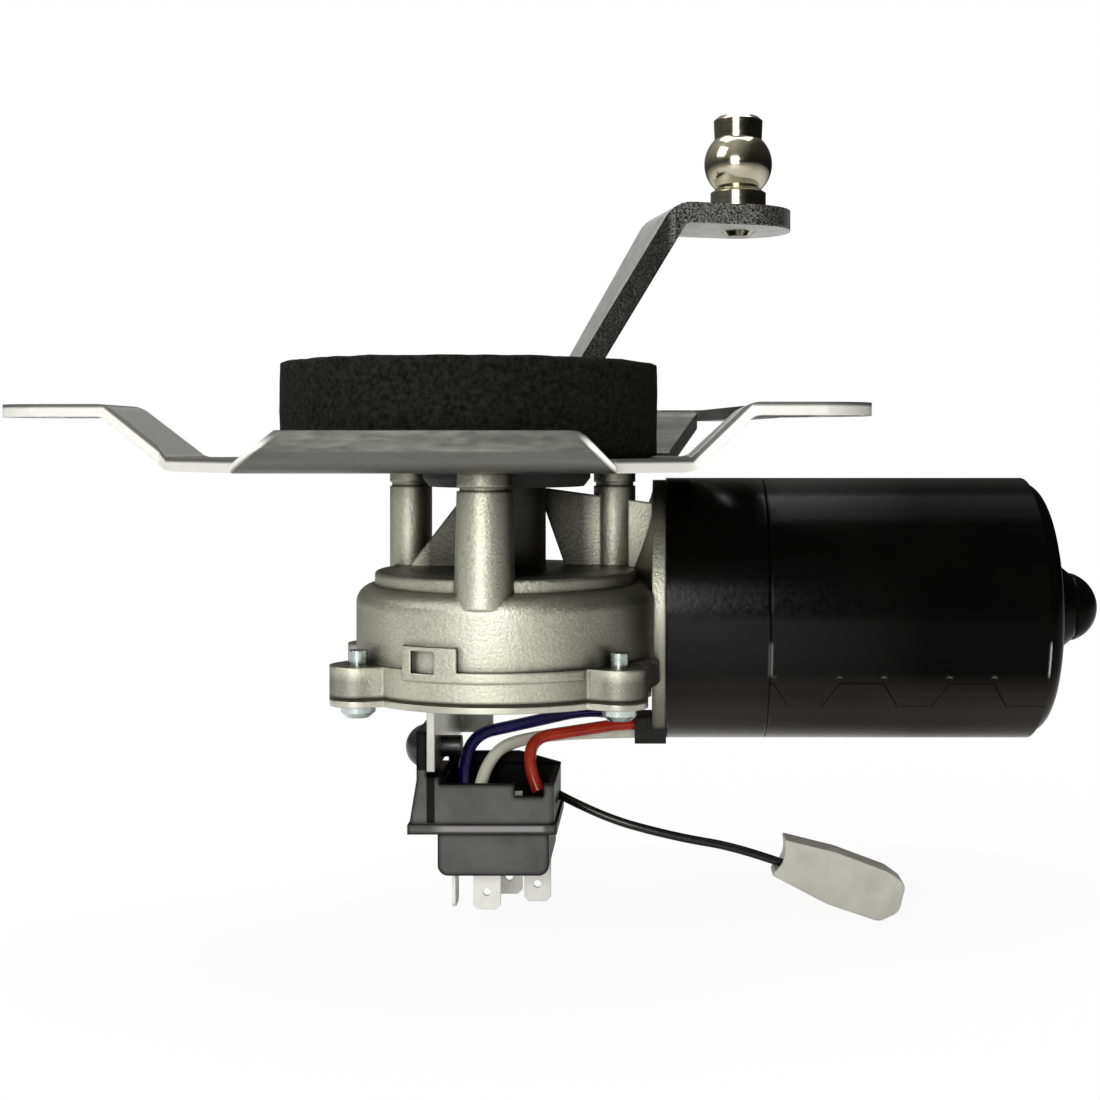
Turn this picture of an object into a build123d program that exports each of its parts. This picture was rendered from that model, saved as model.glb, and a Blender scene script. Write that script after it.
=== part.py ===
import os
from math import cos, degrees, pi, radians, sin, sqrt, tan

from build123d import *

# Millimetres. X runs along the motor away from the gearbox, Y to the rear and Z up.
# The origin is where the output shaft's axis meets the plane of the ears' top faces.

# Fits shared by the pieces
run_gap = 0.03
free_gap = 0.3
bolt_gap = 0.3
slip_gap = 0.4

# Mounting plate: a level base, an upturned front lip and three raised ears
plate_t = 3.0
plate_drop = 12.6
plate_bend_r = 5.0
lip_y = -46.5
lip_bend_r = 3.2
lip_rise = 6.2
lip_foot_x = (-54.0, 27.5)
lip_head_x = (-44.0, 20.0)
lip_corner_r = (1.0, 5.0)
left_ramp_x = (-93.0, -77.0)
right_ramp_x = (57.0, 44.0)
rear_ramp_y = (57.0, 45.5)
left_ear = (-109.6, 1.0)
right_ear = (73.7, -20.0)
rear_ear = (24.0, 75.0)
ear_nose_r = 11.0
ear_hole_r = 3.5
left_root_y = (-12.0, 15.0)
right_root_y = (-31.0, 22.0)
rear_root_x = (0.0, 39.0)
rear_head_x = 48.0
link_w = 9.0
link_inset = 14.0
plate_screw_r = 3.0
plate_head_r = 5.0
plate_head_h = 4.0
plate_socket_r = 2.6
plate_screw_grip = 14.0

# Foam ring that seals the bulkhead opening
foam_r = 44.7
foam_x = -8.6
foam_h = 22.4
foam_hole_r = 29.0
foam_edge = 1.5
foam_pocket_gap = 0.8

# Die-cast gear housing
wall_t = 3.5
drum_r = 35.5
drum_top = -42.3
drum_edge_r = 4.3
deck_rise = 3.0
deck_edge_r = 0.8
rim_step = 1.2
rim_top = -60.2
seat_z = -66.0
tower_r = 9.3
tower_rise = 3.0
front_post_r = (6.1, 6.9)
back_post_r = 5.2
post_inset = 1.0
post_front_foot_z = -45.5
post_groove = 0.5
post_angles = (-94, 30, 150)
rib_t = 2.4
bead_w = 1.6
bead_rise = 3.2
flare_len = 22.8
flare_waist = (6.9, 7.3)
flare_step = 2.5
lug_r = 6.4
lug_h = 7.0
lug_root = 3.0
lug_reach = 3.0
lug_angles = (-144.5, -44, 95, 155)
tab_x = (-20.0, -7.4)
tab_top = -53.7
tab_t = 0.5
pocket_x = (-17.9, -12.6)
pocket_z = (-59.5, -54.6)
pocket_depth = 1.4
step_z = -59.0

# Output shaft and what rides on it
shaft_r = 5.0
shaft_foot = 5.5
shaft_end_gap = 0.9
bush_t = 2.0
bush_len = 13.0
seal_r = 20.0
seal_t = 3.8
washer_t = 1.0
washer_w = 3.2
clip_t = 1.0
clip_w = 2.0
clip_groove = 0.6
clip_mouth = 3.6
crank_t = 5.0
crank_foot_z = -3.5
crank_top_z = 48.6
crank_angle = 15.0
crank_reach = 58.2
crank_slope = 59.5
crank_bend_x = 38.3
crank_hub_r = 12.5
crank_end_r = 13.0
crank_waist_r = 5.0
nut_thread_r = 4.0
nut_af = 13.0
nut_h = 6.2
nut_washer_t = 1.6
nut_washer_w = 3.7
ball_r = 8.45
ball_rise = 11.8
ball_neck_r = 5.9
ball_crown_h = 3.25
stud_shank_r = 4.2
stud_rivet_h = 1.3
stud_collar_r = 6.9
stud_collar_h = 4.6

# Worm drive
gear_module = 1.0
wheel_teeth = 46
wheel_w = 8.0
wheel_hub_r = 9.0
wheel_hub_drop = 3.5
wheel_rim_t = 2.6
wheel_recess = 3.0
spoke_t = 2.2
park_disc_t = 0.6
park_disc_inset = 3.25
park_gap_w = 8.0
worm_pitch_r = 5.0
worm_turns = 4
tooth_slack = 0.1
worm_z = -51.3
worm_play = 0.65
worm_end_r = 3.4
worm_tail = 16.2
end_bush_len = 4.0
end_bush_inset = 0.4
tunnel_r = 10.6
tunnel_end_x = -23.5
tunnel_end_t = 4.0

# Motor
can_r = 33.2
can_t = 1.6
can_start_x = 38.2
can_end_x = 135.2
can_corner = (7.0, 5.5)
can_end_dish = 1.6
can_tab = (16.0, 7.0, 4.0)
boss_foot_r = 14.2
boss_r = 8.6
boss_h = 6.9
cap_h = 7.0
cap_edge_h = 0.6
ring_t = 0.9
ring_inset = (24.6, 5.5)
seam_gap = 0.3
seam_angle = 34
seam_inset = 1.1
seam_teeth = 3
seam_depth = 7.3
seam_share = (0.31, 0.143)
stake_r = 0.7
flange_t = 3.4
flange_step = 0.5
neck_bearing_r = 7.5
neck_bearing_len = 9.0
neck_bearing_inset = 8.2
recess_r = 17.0
armature_shaft_r = 4.0
shaft_tail = 6.3
armature_gap = 0.9
core_inset = (12.0, 17.2)
slot_count = 10
slot_w = 5.2
core_yoke_r = 11.3
slot_mouth = 2.2
tooth_lip = 2.9
winding_overhang = 7.0
winding_gap = 0.4
commutator_r = 11.0
commutator_inset = 7.8
commutator_len = 12.0
riser_t = 2.0
magnet_t = 6.2
magnet_half_angle = 62
magnet_overhang = 5.0
brush_w = 5.0
brush_h = 6.0
brush_share = 0.69
brush_gap = 0.15
brush_angles = (60, 240, 300)
brush_plate_t = 2.0
brush_wall_t = 1.0
brush_guide_end = 5.2
spring_r = 2.2
spring_wire = 0.7
rear_ball_r = 8.1
rear_ball_h = 9.0
rear_ball_inset = 1.7
retainer_w = 9.4
retainer_t = 1.0
motor_screw_r = 2.5
motor_screw_grip = 9.0
motor_screw_inset = 0.2
motor_screw_angles = (192.7, 12.7)
motor_head_r = 4.2
motor_head_h = 3.2

# Bottom cover, its gasket and screws
gasket_t = 0.5
cover_t = 1.4
cover_screw_r = 2.1
cover_screw_grip = 3.2
cover_head_r = 3.9
cover_head_h = 2.9
cover_slot_w = 1.0
cover_bead_gap = 3.3
cover_bead_w = 3.0
cover_bead_h = 0.8
carrier_x = (-18.0, 6.0)
carrier_y = (-25.0, -8.0)
carrier_t = 3.4
finger_t = 0.5
finger_w = 2.5
finger_pitch = 4.5

# Connector, its bracket and the wires
bracket_t = 1.8
bracket_x = -14.2
bracket_y = (-22.0, 28.0)
bracket_drop = 15.5
bracket_tongue = 13.0
bracket_flange = (8.0, 5.0)
bracket_rivet_x = -7.0
bracket_rivet_y = (-2.0, 15.0)
bracket_rivet_r = 1.9
bracket_rivet_head = (1.6, 1.2)
bracket_margin = 6.0
wing_t = 2.3
wing_y = (-22.0, -3.0)
wing_rise = 5.5
wing_lean = 2.0
socket_x = (-14.2, 12.8)
socket_y = (-22.0, 3.0)
socket_top = -86.3
socket_rim_z = -95.2
socket_rim_h = 2.2
socket_base = -107.0
socket_wall = 1.6
socket_edge_r = 1.2
socket_foot_r = 2.4
socket_notch = (9.0, 2.4, 2.8)
rim_edge = 0.6
blade_w = 6.3
blade_t = 0.8
blade_tip = -116.4
rivet_place = (-10.0, -79.8)
rivet_r = 2.5
rivet_head_r = 5.1
rivet_head_h = 4.3
rivet_reach = 4.6
blade_places = ((-3.1, -15.0, 0), (8.0, -8.5, 0), (-10.9, -11.0, 90), (0.8, -2.6, 0))
blade_hole_r = 0.9
blade_hole_rise = 4.0
grommet_w = 12.8
grommet_h = 6.6
grommet_len = 7.8
grommet_y = 13.2
grommet_top = -77.6
wire_r = 1.5
lead_r = 1.0
tail_place = (64.4, -8.0, -105.6)
tail_slope = 19.5
tail_len = 30.5
tail_t = 7.0
tail_wall = 2.0
tail_terminal_x = (8.0, 24.0)
tail_terminal_w = 6.0

# Routes of the wires, from the connector to the grommet, and of the ground lead
blue_route = (
    (-9.0, -7.0, -91.6),
    (-11.4, -2.0, -79.4),
    (4.0, 6.0, -77.4),
    (20.0, 15.0, -75.2),
    (30.4, 22.4, -79.6),
    (38.0, 22.6, -79.8),
)
red_route = (
    (8.0, -5.0, -91.6),
    (2.4, -1.0, -80.2),
    (18.0, 7.0, -79.2),
    (30.0, 16.2, -79.0),
    (38.0, 16.4, -79.4),
)
white_route = (
    (-5.8, -9.0, -91.6),
    (-4.6, -4.0, -83.0),
    (5.0, 6.0, -80.4),
    (30.0, 18.8, -81.8),
    (38.0, 19.4, -82.0),
)
ground_route = (
    (7.4, -0.9, -90.4),
    (21.0, -7.0, -96.6),
    (40.0, -8.0, -101.6),
    (56.0, -8.0, -104.2),
    (70.0, -8.0, -109.4),
)

# Sizes that follow from the ones above
lead = pi * gear_module
wheel_pitch_r = gear_module * wheel_teeth / 2
motor_y = wheel_pitch_r + worm_pitch_r
plate_top = -plate_drop
plate_base = plate_top - plate_t
tower_top = plate_top + tower_rise
rim_r = drum_r + rim_step
cavity_r = drum_r - wall_t
cavity_top = drum_top - wall_t
deck_r = drum_r - drum_edge_r
deck_z = drum_top + deck_rise
post_circle_r = drum_r - back_post_r - post_inset
lug_circle_r = drum_r + lug_reach
bush_r = shaft_r + bush_t
wheel_tip_r = wheel_pitch_r + 0.85 * gear_module
wheel_root_r = wheel_pitch_r - 1.2 * gear_module
wheel_top = worm_z + wheel_w / 2
wheel_base = worm_z - wheel_w / 2
worm_tip_r = worm_pitch_r + 0.85 * gear_module
worm_root_r = worm_pitch_r - 1.2 * gear_module
worm_bore_r = worm_tip_r + worm_play
clip_low = tower_top + free_gap + washer_t
cover_top = seat_z - gasket_t
cover_base = cover_top - cover_t
cover_bead_r = cavity_r - cover_bead_gap
bracket_base = cover_base - bracket_drop
wing_x = bracket_x - bracket_t
crank_hub_top = crank_foot_z + crank_t
shaft_tip = crank_hub_top + nut_washer_t + nut_h + shaft_end_gap
flange_x = can_start_x - flange_t
flange_r = can_r - flange_step
side_flat_x = flange_x - 0.1
can_body_r = can_r - ring_t
can_bore_r = can_body_r - can_t
boss_tip_x = can_end_x + boss_h
ring_x = (can_start_x + ring_inset[0], can_end_x - ring_inset[1])
neck_bearing_top = can_start_x - neck_bearing_inset
neck_bearing_x = (neck_bearing_top - neck_bearing_len, neck_bearing_top)
commutator_x = (can_start_x + commutator_inset, can_start_x + commutator_inset + commutator_len)
core_x = (commutator_x[1] + core_inset[0], can_end_x - core_inset[1])
armature_r = can_bore_r - magnet_t - armature_gap
slot_depth = armature_r - tooth_lip - core_yoke_r
rear_ball_x = can_end_x - rear_ball_inset
brush_end_r = can_bore_r - brush_guide_end
brush_len = brush_share * (brush_end_r - commutator_r)
motor_screw_circle_r = can_bore_r - motor_screw_r - motor_screw_inset
grommet_low = (can_start_x - grommet_len, grommet_y, grommet_top - grommet_h)
grommet_high = (can_start_x, grommet_y + grommet_w, grommet_top)
motor_frame = Plane(origin=(0, motor_y, worm_z), x_dir=(0, 1, 0), z_dir=(1, 0, 0))
crank_frame = Plane.XY.rotated((0, 0, crank_angle))
seam_dir = (0, -cos(radians(seam_angle)), -sin(radians(seam_angle)))
seam_plane = Plane(origin=(0, motor_y, worm_z), x_dir=(1, 0, 0), z_dir=seam_dir)
rivet_axis = Plane(origin=(0, rivet_place[0], rivet_place[1]), x_dir=(0, 1, 0), z_dir=(1, 0, 0))
tail_dir = (cos(radians(tail_slope)), 0, -sin(radians(tail_slope)))
tail_frame = Plane(origin=tail_place, x_dir=tail_dir, z_dir=(0, -1, 0))


def at(radius, angle, z=0.0):
    """Place on a circle about the Z axis."""
    return Pos(radius * cos(radians(angle)), radius * sin(radians(angle)), z)


def turned(*outline):
    """Solid of revolution about Z from a closed outline of (radius, height) points."""
    return revolve(Plane.XZ * make_face(Polyline(*outline, close=True)), Axis.Z)


def pipe(outer_r, inner_r, low, high):
    """Hollow cylinder about Z."""
    return turned((inner_r, low), (outer_r, low), (outer_r, high), (inner_r, high))


def rod(radius, low, high):
    """Plain cylinder about Z."""
    return Pos(0, 0, low) * Cylinder(radius, high - low, align=(Align.CENTER, Align.CENTER, Align.MIN))


def block(low, high):
    """Box between two opposite corners."""
    size = [b - a for a, b in zip(low, high)]
    return Pos(*low) * Box(*size, align=(Align.MIN, Align.MIN, Align.MIN))


def bent_strip(points, thickness, bend_r):
    """Side view of a bent sheet whose middle line follows the points."""
    return trace(FilletPolyline(*points, radius=bend_r), thickness)


def corded(route, radius):
    """Round tube of straight runs and tangent arcs."""
    bends = []
    for before, corner, after in zip(route, route[1:], route[2:]):
        first = Vector(corner) - Vector(before)
        second = Vector(after) - Vector(corner)
        half_turn = radians(first.get_angle(second)) / 2
        bends.append(0.45 * min(first.length, second.length) / tan(half_turn))
    path = FilletPolyline(*route, radius=bends)
    return sweep(Plane(origin=path @ 0, z_dir=path % 0) * Circle(radius), path=path)


def dome(base_r, height, base_z):
    """Spherical cap that stands on a plane across Z."""
    ball_radius = (base_r ** 2 + height ** 2) / (2 * height)
    ball = Pos(0, 0, base_z + height - ball_radius) * Sphere(ball_radius)
    return ball & rod(base_r + 1, base_z, base_z + height + 1)


def hexagon_head(across_flats, low, height):
    """Hexagon with chamfered corners."""
    corner_r = across_flats / sqrt(3)
    chamfer_h = corner_r - across_flats / 2
    prism = extrude(RegularPolygon(corner_r, 6), height)
    rounding = turned(
        (0, 0),
        (corner_r - chamfer_h, 0),
        (corner_r, chamfer_h / 2),
        (corner_r, height - chamfer_h / 2),
        (corner_r - chamfer_h, height),
        (0, height),
    )
    return Pos(0, 0, low) * (prism & rounding)


# ---- Mounting plate and foam seal ----

def plate_plan():
    """Plan of the base with its three tapering ears."""
    base = FilletPolyline(
        (left_ramp_x[1] - 3, left_root_y[0]),
        (lip_foot_x[0], lip_y + 5),
        (lip_foot_x[1], lip_y + 5),
        (right_ramp_x[1], right_root_y[0]),
        (right_ramp_x[0], right_root_y[0]),
        (right_ramp_x[0], right_root_y[1] - link_inset),
        (rear_root_x[1], rear_ramp_y[1]),
        (rear_head_x, rear_ramp_y[0]),
        (rear_root_x[0] + 2, rear_ramp_y[0]),
        (rear_root_x[0] - 2, rear_ramp_y[1] + 2),
        (-28, rear_ramp_y[1] + 2),
        (left_ramp_x[1] + 6, left_root_y[1] + 2),
        (left_ramp_x[1] - 3, left_root_y[1] - 1),
        radius=[4, 6, 0, 6, 4, 2, 2, 1, 4, 3, 14, 8, 3],
        close=True,
    )
    ears = (
        (left_ear, [(left_ramp_x[1], y) for y in left_root_y]),
        (right_ear, [(right_ramp_x[1], y) for y in right_root_y]),
        (rear_ear, [(x, rear_ramp_y[1]) for x in rear_root_x]),
    )
    plan = make_face(base)
    for centre, (one, two) in ears:
        nose = Pos(*centre) * Circle(ear_nose_r)
        plan += make_hull([*nose.edges(), Line(one, two)])
    return plan


def ear_link():
    """Level arm that joins the right ear to the rear one behind the open corner."""
    inner = (right_ramp_x[0], right_root_y[1] - link_inset)
    head_y = rear_ramp_y[0]
    plan = FilletPolyline(
        (rear_ear[0], head_y + 2),
        (rear_head_x, head_y + 2),
        inner,
        (inner[0] + link_w, inner[1] - link_w / 2),
        (rear_head_x + link_w, head_y + link_w / 2),
        rear_ear,
        radius=[0, 3, 1, 1, 8, 0],
        close=True,
    )
    return extrude(make_face(plan), -plate_t)


def mounting_plate():
    middle = -plate_t / 2
    low = plate_top + middle
    side = bent_strip(
        (
            (left_ear[0] - 2 * ear_nose_r, middle),
            (left_ramp_x[0], middle),
            (left_ramp_x[1], low),
            (right_ramp_x[1], low),
            (right_ramp_x[0], middle),
            (right_ear[0] + 2 * ear_nose_r, middle),
        ),
        plate_t,
        plate_bend_r,
    )
    rear = bent_strip(
        (
            (lip_y + 6, low),
            (rear_ramp_y[1], low),
            (rear_ramp_y[0], middle),
            (rear_ear[1] + 2 * ear_nose_r, middle),
        ),
        plate_t,
        plate_bend_r,
    )
    lip = bent_strip(
        ((lip_y + 12, low), (lip_y, low), (lip_y, plate_top + lip_rise)),
        plate_t,
        lip_bend_r,
    )
    span = 200
    plan = extrude(plate_plan(), span / 2, both=True)
    sideways = extrude(Plane.XZ * side, span, both=True) & plan
    sideways &= block((-span, -span, -span), (span, rear_ramp_y[1], span))
    rearward = extrude(Plane.YZ * rear, span, both=True) & plan
    rearward &= block((-span, rear_ramp_y[1], -span), (span, span, span))
    mask = FilletPolyline(
        (lip_foot_x[0], plate_base),
        (lip_foot_x[1], plate_base),
        (lip_foot_x[1], plate_base + plate_t / 2),
        (lip_head_x[1], plate_top + lip_rise),
        (lip_head_x[0], plate_top + lip_rise),
        (lip_foot_x[0], plate_base + plate_t / 2),
        radius=[0, 0, 0, lip_corner_r[1], lip_corner_r[0], 0],
        close=True,
    )
    front = extrude(Plane.YZ * lip, span, both=True)
    front &= extrude(Plane.XZ * make_face(mask), span, both=True)
    plate = sideways + rearward + front + ear_link()
    plate -= rod(tower_r + slip_gap, plate_base - 1, plate_top + 1)
    for angle in post_angles:
        plate -= at(post_circle_r, angle) * rod(plate_screw_r + bolt_gap, plate_base - 1, plate_top + 1)
    for centre in (left_ear, right_ear, rear_ear):
        plate -= Pos(*centre) * rod(ear_hole_r, -plate_t - 1, 1)
    return plate


def foam_seal():
    ring = rod(foam_r, plate_top, plate_top + foam_h)
    ring = Pos(foam_x, 0) * chamfer(ring.edges().filter_by(GeomType.CIRCLE).group_by(Axis.Z)[0], foam_edge)
    ring -= rod(foam_hole_r, plate_top - 1, plate_top + foam_h + 1)
    pocket = rod(plate_head_r + foam_pocket_gap, plate_top - 1, plate_top + plate_head_h + foam_pocket_gap)
    for angle in post_angles:
        ring -= at(post_circle_r, angle) * pocket
    return ring


def plate_screws():
    socket = extrude(RegularPolygon(plate_socket_r, 6), plate_head_h)
    screw = rod(plate_head_r, plate_top, plate_top + plate_head_h)
    screw -= Pos(0, 0, plate_top + plate_head_h / 2) * socket
    screw += rod(plate_screw_r, plate_base - plate_screw_grip, plate_top)
    return [at(post_circle_r, angle) * screw for angle in post_angles]


# ---- Gear housing and bottom cover ----

def lug_places(z=0.0):
    return [at(lug_circle_r, angle, z) for angle in lug_angles]


def seat_outline():
    """Plan of the cover joint: the round rim, its screw lugs and the flat beside the motor."""
    outline = Circle(rim_r)
    root = Circle(lug_r + lug_root)
    for angle in lug_angles:
        lug = at(lug_circle_r, angle) * Circle(lug_r)
        foot = at(lug_circle_r - lug_r - lug_root - 1, angle) * root
        outline += make_hull([*lug.edges(), *foot.edges()])
    span = 100
    return outline - Pos(side_flat_x + span / 2, 0) * Rectangle(span, span)


def housing_posts():
    """Three screw posts; the front one runs on down the drum wall."""
    front_r, front_foot_r = front_post_r
    groove_z = plate_base - front_r * 0.6
    foot_z = post_front_foot_z
    front = turned((0, foot_z), (front_foot_r, foot_z), (front_r, plate_base), (0, plate_base))
    back = rod(back_post_r, drum_top - wall_t, plate_base)
    cut = 2 * post_groove
    posts = []
    for angle in post_angles:
        post, radius = (front, front_r) if angle < 0 else (back, back_post_r)
        ring = pipe(radius + cut, radius - post_groove, groove_z - cut / 2, groove_z + cut / 2)
        posts.append(at(post_circle_r, angle) * (post - ring))
    return posts


def housing_ribs():
    """Triangular web to the left post and the pierced web to the motor neck."""
    left_post = at(post_circle_r, post_angles[2]).position
    left_top = plate_base - seal_t
    left_foot = (left_post.X, deck_z - 1)
    left = Polygon((0, left_top), (-tower_r, left_top), left_foot, (0, deck_z - 1), align=None)
    left_plane = Plane(origin=(0, left_post.Y * 0.55, 0), x_dir=(1, 0, 0), z_dir=(0, -1, 0))
    bead_x = (tower_r - bead_w - 0.1, tower_r * 1.8)
    right = Polygon(
        (0, left_top),
        (tower_r, left_top - 1),
        (flange_x, left_top - 4.5),
        (flange_x, drum_top - 4),
        (bead_x[1] - 3, drum_top - 4),
        (bead_x[1] - 3.4, drum_top + 2.6),
        (bead_x[0], left_top - 4),
        (0, left_top - 4),
        align=None,
    )
    right_plane = Plane(origin=(0, tower_r + 2.7, 0), x_dir=(1, 0, 0), z_dir=(0, -1, 0))
    bead = Polygon(
        (bead_x[0], left_top - 1),
        (bead_x[0] + bead_w, left_top - 1),
        (bead_x[1] + bead_w, drum_top + 1),
        (bead_x[1], drum_top + 1),
        align=None,
    )
    return [
        extrude(left_plane * left, rib_t / 2, both=True),
        extrude(right_plane * right, rib_t / 2, both=True),
        extrude(right_plane * bead, bead_rise),
    ]


def motor_neck():
    """Worm tunnel that flares out to the motor flange, about the motor's own axis."""
    flare_x = flange_x - flare_len
    flare_end_r = flange_r - flare_step
    waist = (tunnel_r + flare_waist[0], flange_x - flare_waist[1])
    outline = [
        Polyline(
            (0, tunnel_end_x),
            (tunnel_r - 3, tunnel_end_x),
            (tunnel_r, tunnel_end_x + 3),
            (tunnel_r, flare_x),
        ),
        ThreePointArc((tunnel_r, flare_x), waist, (flare_end_r, flange_x)),
        Polyline(
            (flare_end_r, flange_x),
            (flange_r, flange_x),
            (flange_r, can_start_x),
            (0, can_start_x),
            (0, tunnel_end_x),
        ),
    ]
    neck = motor_frame.location * revolve(Plane.XZ * make_face(outline), Axis.Z)
    reach = 2 * flange_r
    return neck - block((-reach, -reach, worm_z - reach), (side_flat_x, motor_y + reach, seat_z))


def neck_bores():
    """Worm bore, bearing seat and commutator recess, about the motor's own axis."""
    past = can_start_x + 1
    bores = rod(worm_bore_r, tunnel_end_x + tunnel_end_t, neck_bearing_x[0])
    bores += rod(neck_bearing_r, neck_bearing_x[0], neck_bearing_x[1])
    bores += rod(recess_r, neck_bearing_x[1], past)
    hole = rod(motor_screw_r + bolt_gap, neck_bearing_x[1], past)
    hole += rod(motor_head_r + slip_gap, neck_bearing_x[0] - 1, flange_x)
    for angle in motor_screw_angles:
        bores += at(motor_screw_circle_r, angle) * hole
    return motor_frame.location * bores


def rim_details():
    """Raised tab and square pocket on the front left of the drum."""
    tab_r = rim_r + tab_t
    front = -2 * rim_r
    tab = pipe(tab_r, cavity_r + 1, rim_top - 1, tab_top)
    tab &= block((tab_x[0], front, seat_z), (tab_x[1], 0, drum_top))
    pocket = block((pocket_x[0], front, pocket_z[0]), (pocket_x[1], 0, pocket_z[1]))
    pocket -= rod(tab_r - pocket_depth, seat_z, drum_top)
    step = pipe(tab_r, cavity_r + 1, rim_top - 1, step_z)
    step &= block((tab_x[1], front, seat_z), (-tab_x[0], 0, drum_top))
    return tab, pocket, step


def gear_housing():
    edge = drum_edge_r
    shell = [
        Polyline((0, deck_z), (deck_r - deck_edge_r, deck_z)),
        RadiusArc((deck_r - deck_edge_r, deck_z), (deck_r, deck_z - deck_edge_r), deck_edge_r),
        Line((deck_r, deck_z - deck_edge_r), (deck_r, drum_top)),
        RadiusArc((deck_r, drum_top), (drum_r, drum_top - edge), edge),
        Polyline(
            (drum_r, drum_top - edge),
            (drum_r, rim_top),
            (rim_r, rim_top - rim_step / 2),
            (rim_r, seat_z),
            (0, seat_z),
            (0, deck_z),
        ),
    ]
    body = revolve(Plane.XZ * make_face(shell), Axis.Z)
    body += rod(tower_r, drum_top - 1, tower_top)
    for post in housing_posts():
        body += post
    for rib in housing_ribs():
        body += rib
    lugs = extrude(Pos(0, 0, seat_z) * seat_outline(), lug_h)
    body += lugs - rod(drum_r - 1, seat_z - 1, drum_top)
    body += motor_neck()
    tab, pocket, step = rim_details()
    body = body + tab + step - pocket
    body -= rod(cavity_r, seat_z - 1, cavity_top)
    body -= rod(bush_r, cavity_top - 1, tower_top + 1)
    body -= neck_bores()
    body -= block(grommet_low, (can_start_x + 1, grommet_high[1], grommet_high[2]))
    post_hole = rod(plate_screw_r, plate_base - plate_screw_grip - 2, plate_base + 1)
    lug_hole = rod(cover_screw_r, seat_z - 1, seat_z + lug_h + cover_screw_grip + slip_gap)
    for angle in post_angles:
        body -= at(post_circle_r, angle) * post_hole
    for place in lug_places():
        body -= place * lug_hole
    return body


def cover_plan():
    plan = seat_outline()
    for place in lug_places():
        plan -= place * Circle(cover_screw_r + bolt_gap)
    return plan


def cover_gasket():
    return extrude(Pos(0, 0, cover_top) * (cover_plan() - Circle(cavity_r)), gasket_t)


def gear_cover():
    cover = extrude(Pos(0, 0, cover_base) * cover_plan(), cover_t)
    cover += pipe(cover_bead_r, cover_bead_r - cover_bead_w, cover_top, cover_top + cover_bead_h)
    for y in bracket_rivet_y:
        cover -= Pos(bracket_rivet_x, y) * rod(bracket_rivet_r, cover_base - 1, cover_top + 1)
    return cover


def cover_screws():
    screw = rod(cover_screw_r, cover_base, seat_z + lug_h + cover_screw_grip)
    low = cover_base - cover_head_h
    slope = 0.3 * cover_head_r
    head = turned(
        (0, low),
        (cover_head_r - slope, low),
        (cover_head_r, low + slope),
        (cover_head_r, cover_base),
        (0, cover_base),
    )
    arm = cover_head_r - slope
    slot = block((-arm, -cover_slot_w / 2, low - 1), (arm, cover_slot_w / 2, low + slope))
    screw += head - slot - Rot(0, 0, 90) * slot
    return [place * screw for place in lug_places()]


# ---- Output shaft, bearings and crank ----

def shaft_seal():
    return turned(
        (tower_r, plate_base - seal_t),
        (seal_r - seal_t / 2.5, plate_base - seal_t),
        (seal_r, plate_base - seal_t / 2),
        (seal_r, plate_base),
        (tower_r, plate_base),
    )


def output_bushes():
    upper = pipe(bush_r, shaft_r + run_gap, tower_top - bush_len, tower_top)
    lower = pipe(bush_r, shaft_r + run_gap, cavity_top, cavity_top + bush_len)
    return [upper, lower]


def output_shaft():
    base = wheel_base - shaft_foot
    edge = 0.15 * shaft_r
    shaft = turned(
        (0, base),
        (shaft_r - edge, base),
        (shaft_r, base + edge),
        (shaft_r, crank_foot_z),
        (nut_thread_r, crank_hub_top),
        (nut_thread_r, shaft_tip - edge),
        (nut_thread_r - edge, shaft_tip),
        (0, shaft_tip),
    )
    return shaft - pipe(shaft_r + 1, shaft_r - clip_groove, clip_low, clip_low + clip_t)


def shaft_washers():
    washer = pipe(shaft_r + washer_w, shaft_r, 0, washer_t)
    return [Pos(0, 0, z) * washer for z in (clip_low - washer_t, wheel_top)]


def shaft_clip():
    clip = pipe(shaft_r + clip_w, shaft_r - clip_groove, clip_low, clip_low + clip_t)
    mouth = block((0, -clip_mouth / 2, clip_low - 1), (2 * shaft_r, clip_mouth / 2, clip_low + clip_t + 1))
    return clip - mouth


def worm_wheel():
    """Wheel with slanted straight teeth that match the worm's helix angle."""
    tip_half = 0.35 * gear_module
    root_half = 0.95 * gear_module
    tooth = (
        (wheel_root_r, -root_half),
        (wheel_tip_r, -tip_half),
        (wheel_tip_r, tip_half),
        (wheel_root_r, root_half),
    )
    outline = []
    for index in range(wheel_teeth):
        turn = Rot(0, 0, 90 + 360 / wheel_teeth * index)
        outline += [(turn * Pos(x, y)).position for x, y in tooth]
    section = make_face(Polyline(*outline, close=True))
    slant = degrees(lead / (2 * pi * worm_pitch_r) * wheel_w / wheel_pitch_r)
    low = Pos(0, 0, wheel_base) * Rot(0, 0, -slant / 2) * section
    high = Pos(0, 0, wheel_top) * Rot(0, 0, slant / 2) * section
    wheel = loft([low, high], ruled=True)
    rim_inner_r = wheel_root_r - wheel_rim_t
    recess_base = wheel_top - wheel_recess
    recess = pipe(rim_inner_r, wheel_hub_r, recess_base, wheel_top + 1)
    spoke = block((wheel_hub_r - 1, -spoke_t / 2, recess_base), (rim_inner_r + 1, spoke_t / 2, wheel_top))
    for turn in range(6):
        recess -= Rot(0, 0, 60 * turn) * spoke
    wheel -= recess
    wheel += rod(wheel_hub_r, wheel_base - wheel_hub_drop, wheel_base)
    return wheel - rod(shaft_r, wheel_base - wheel_hub_drop - 1, wheel_top + 1)


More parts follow.
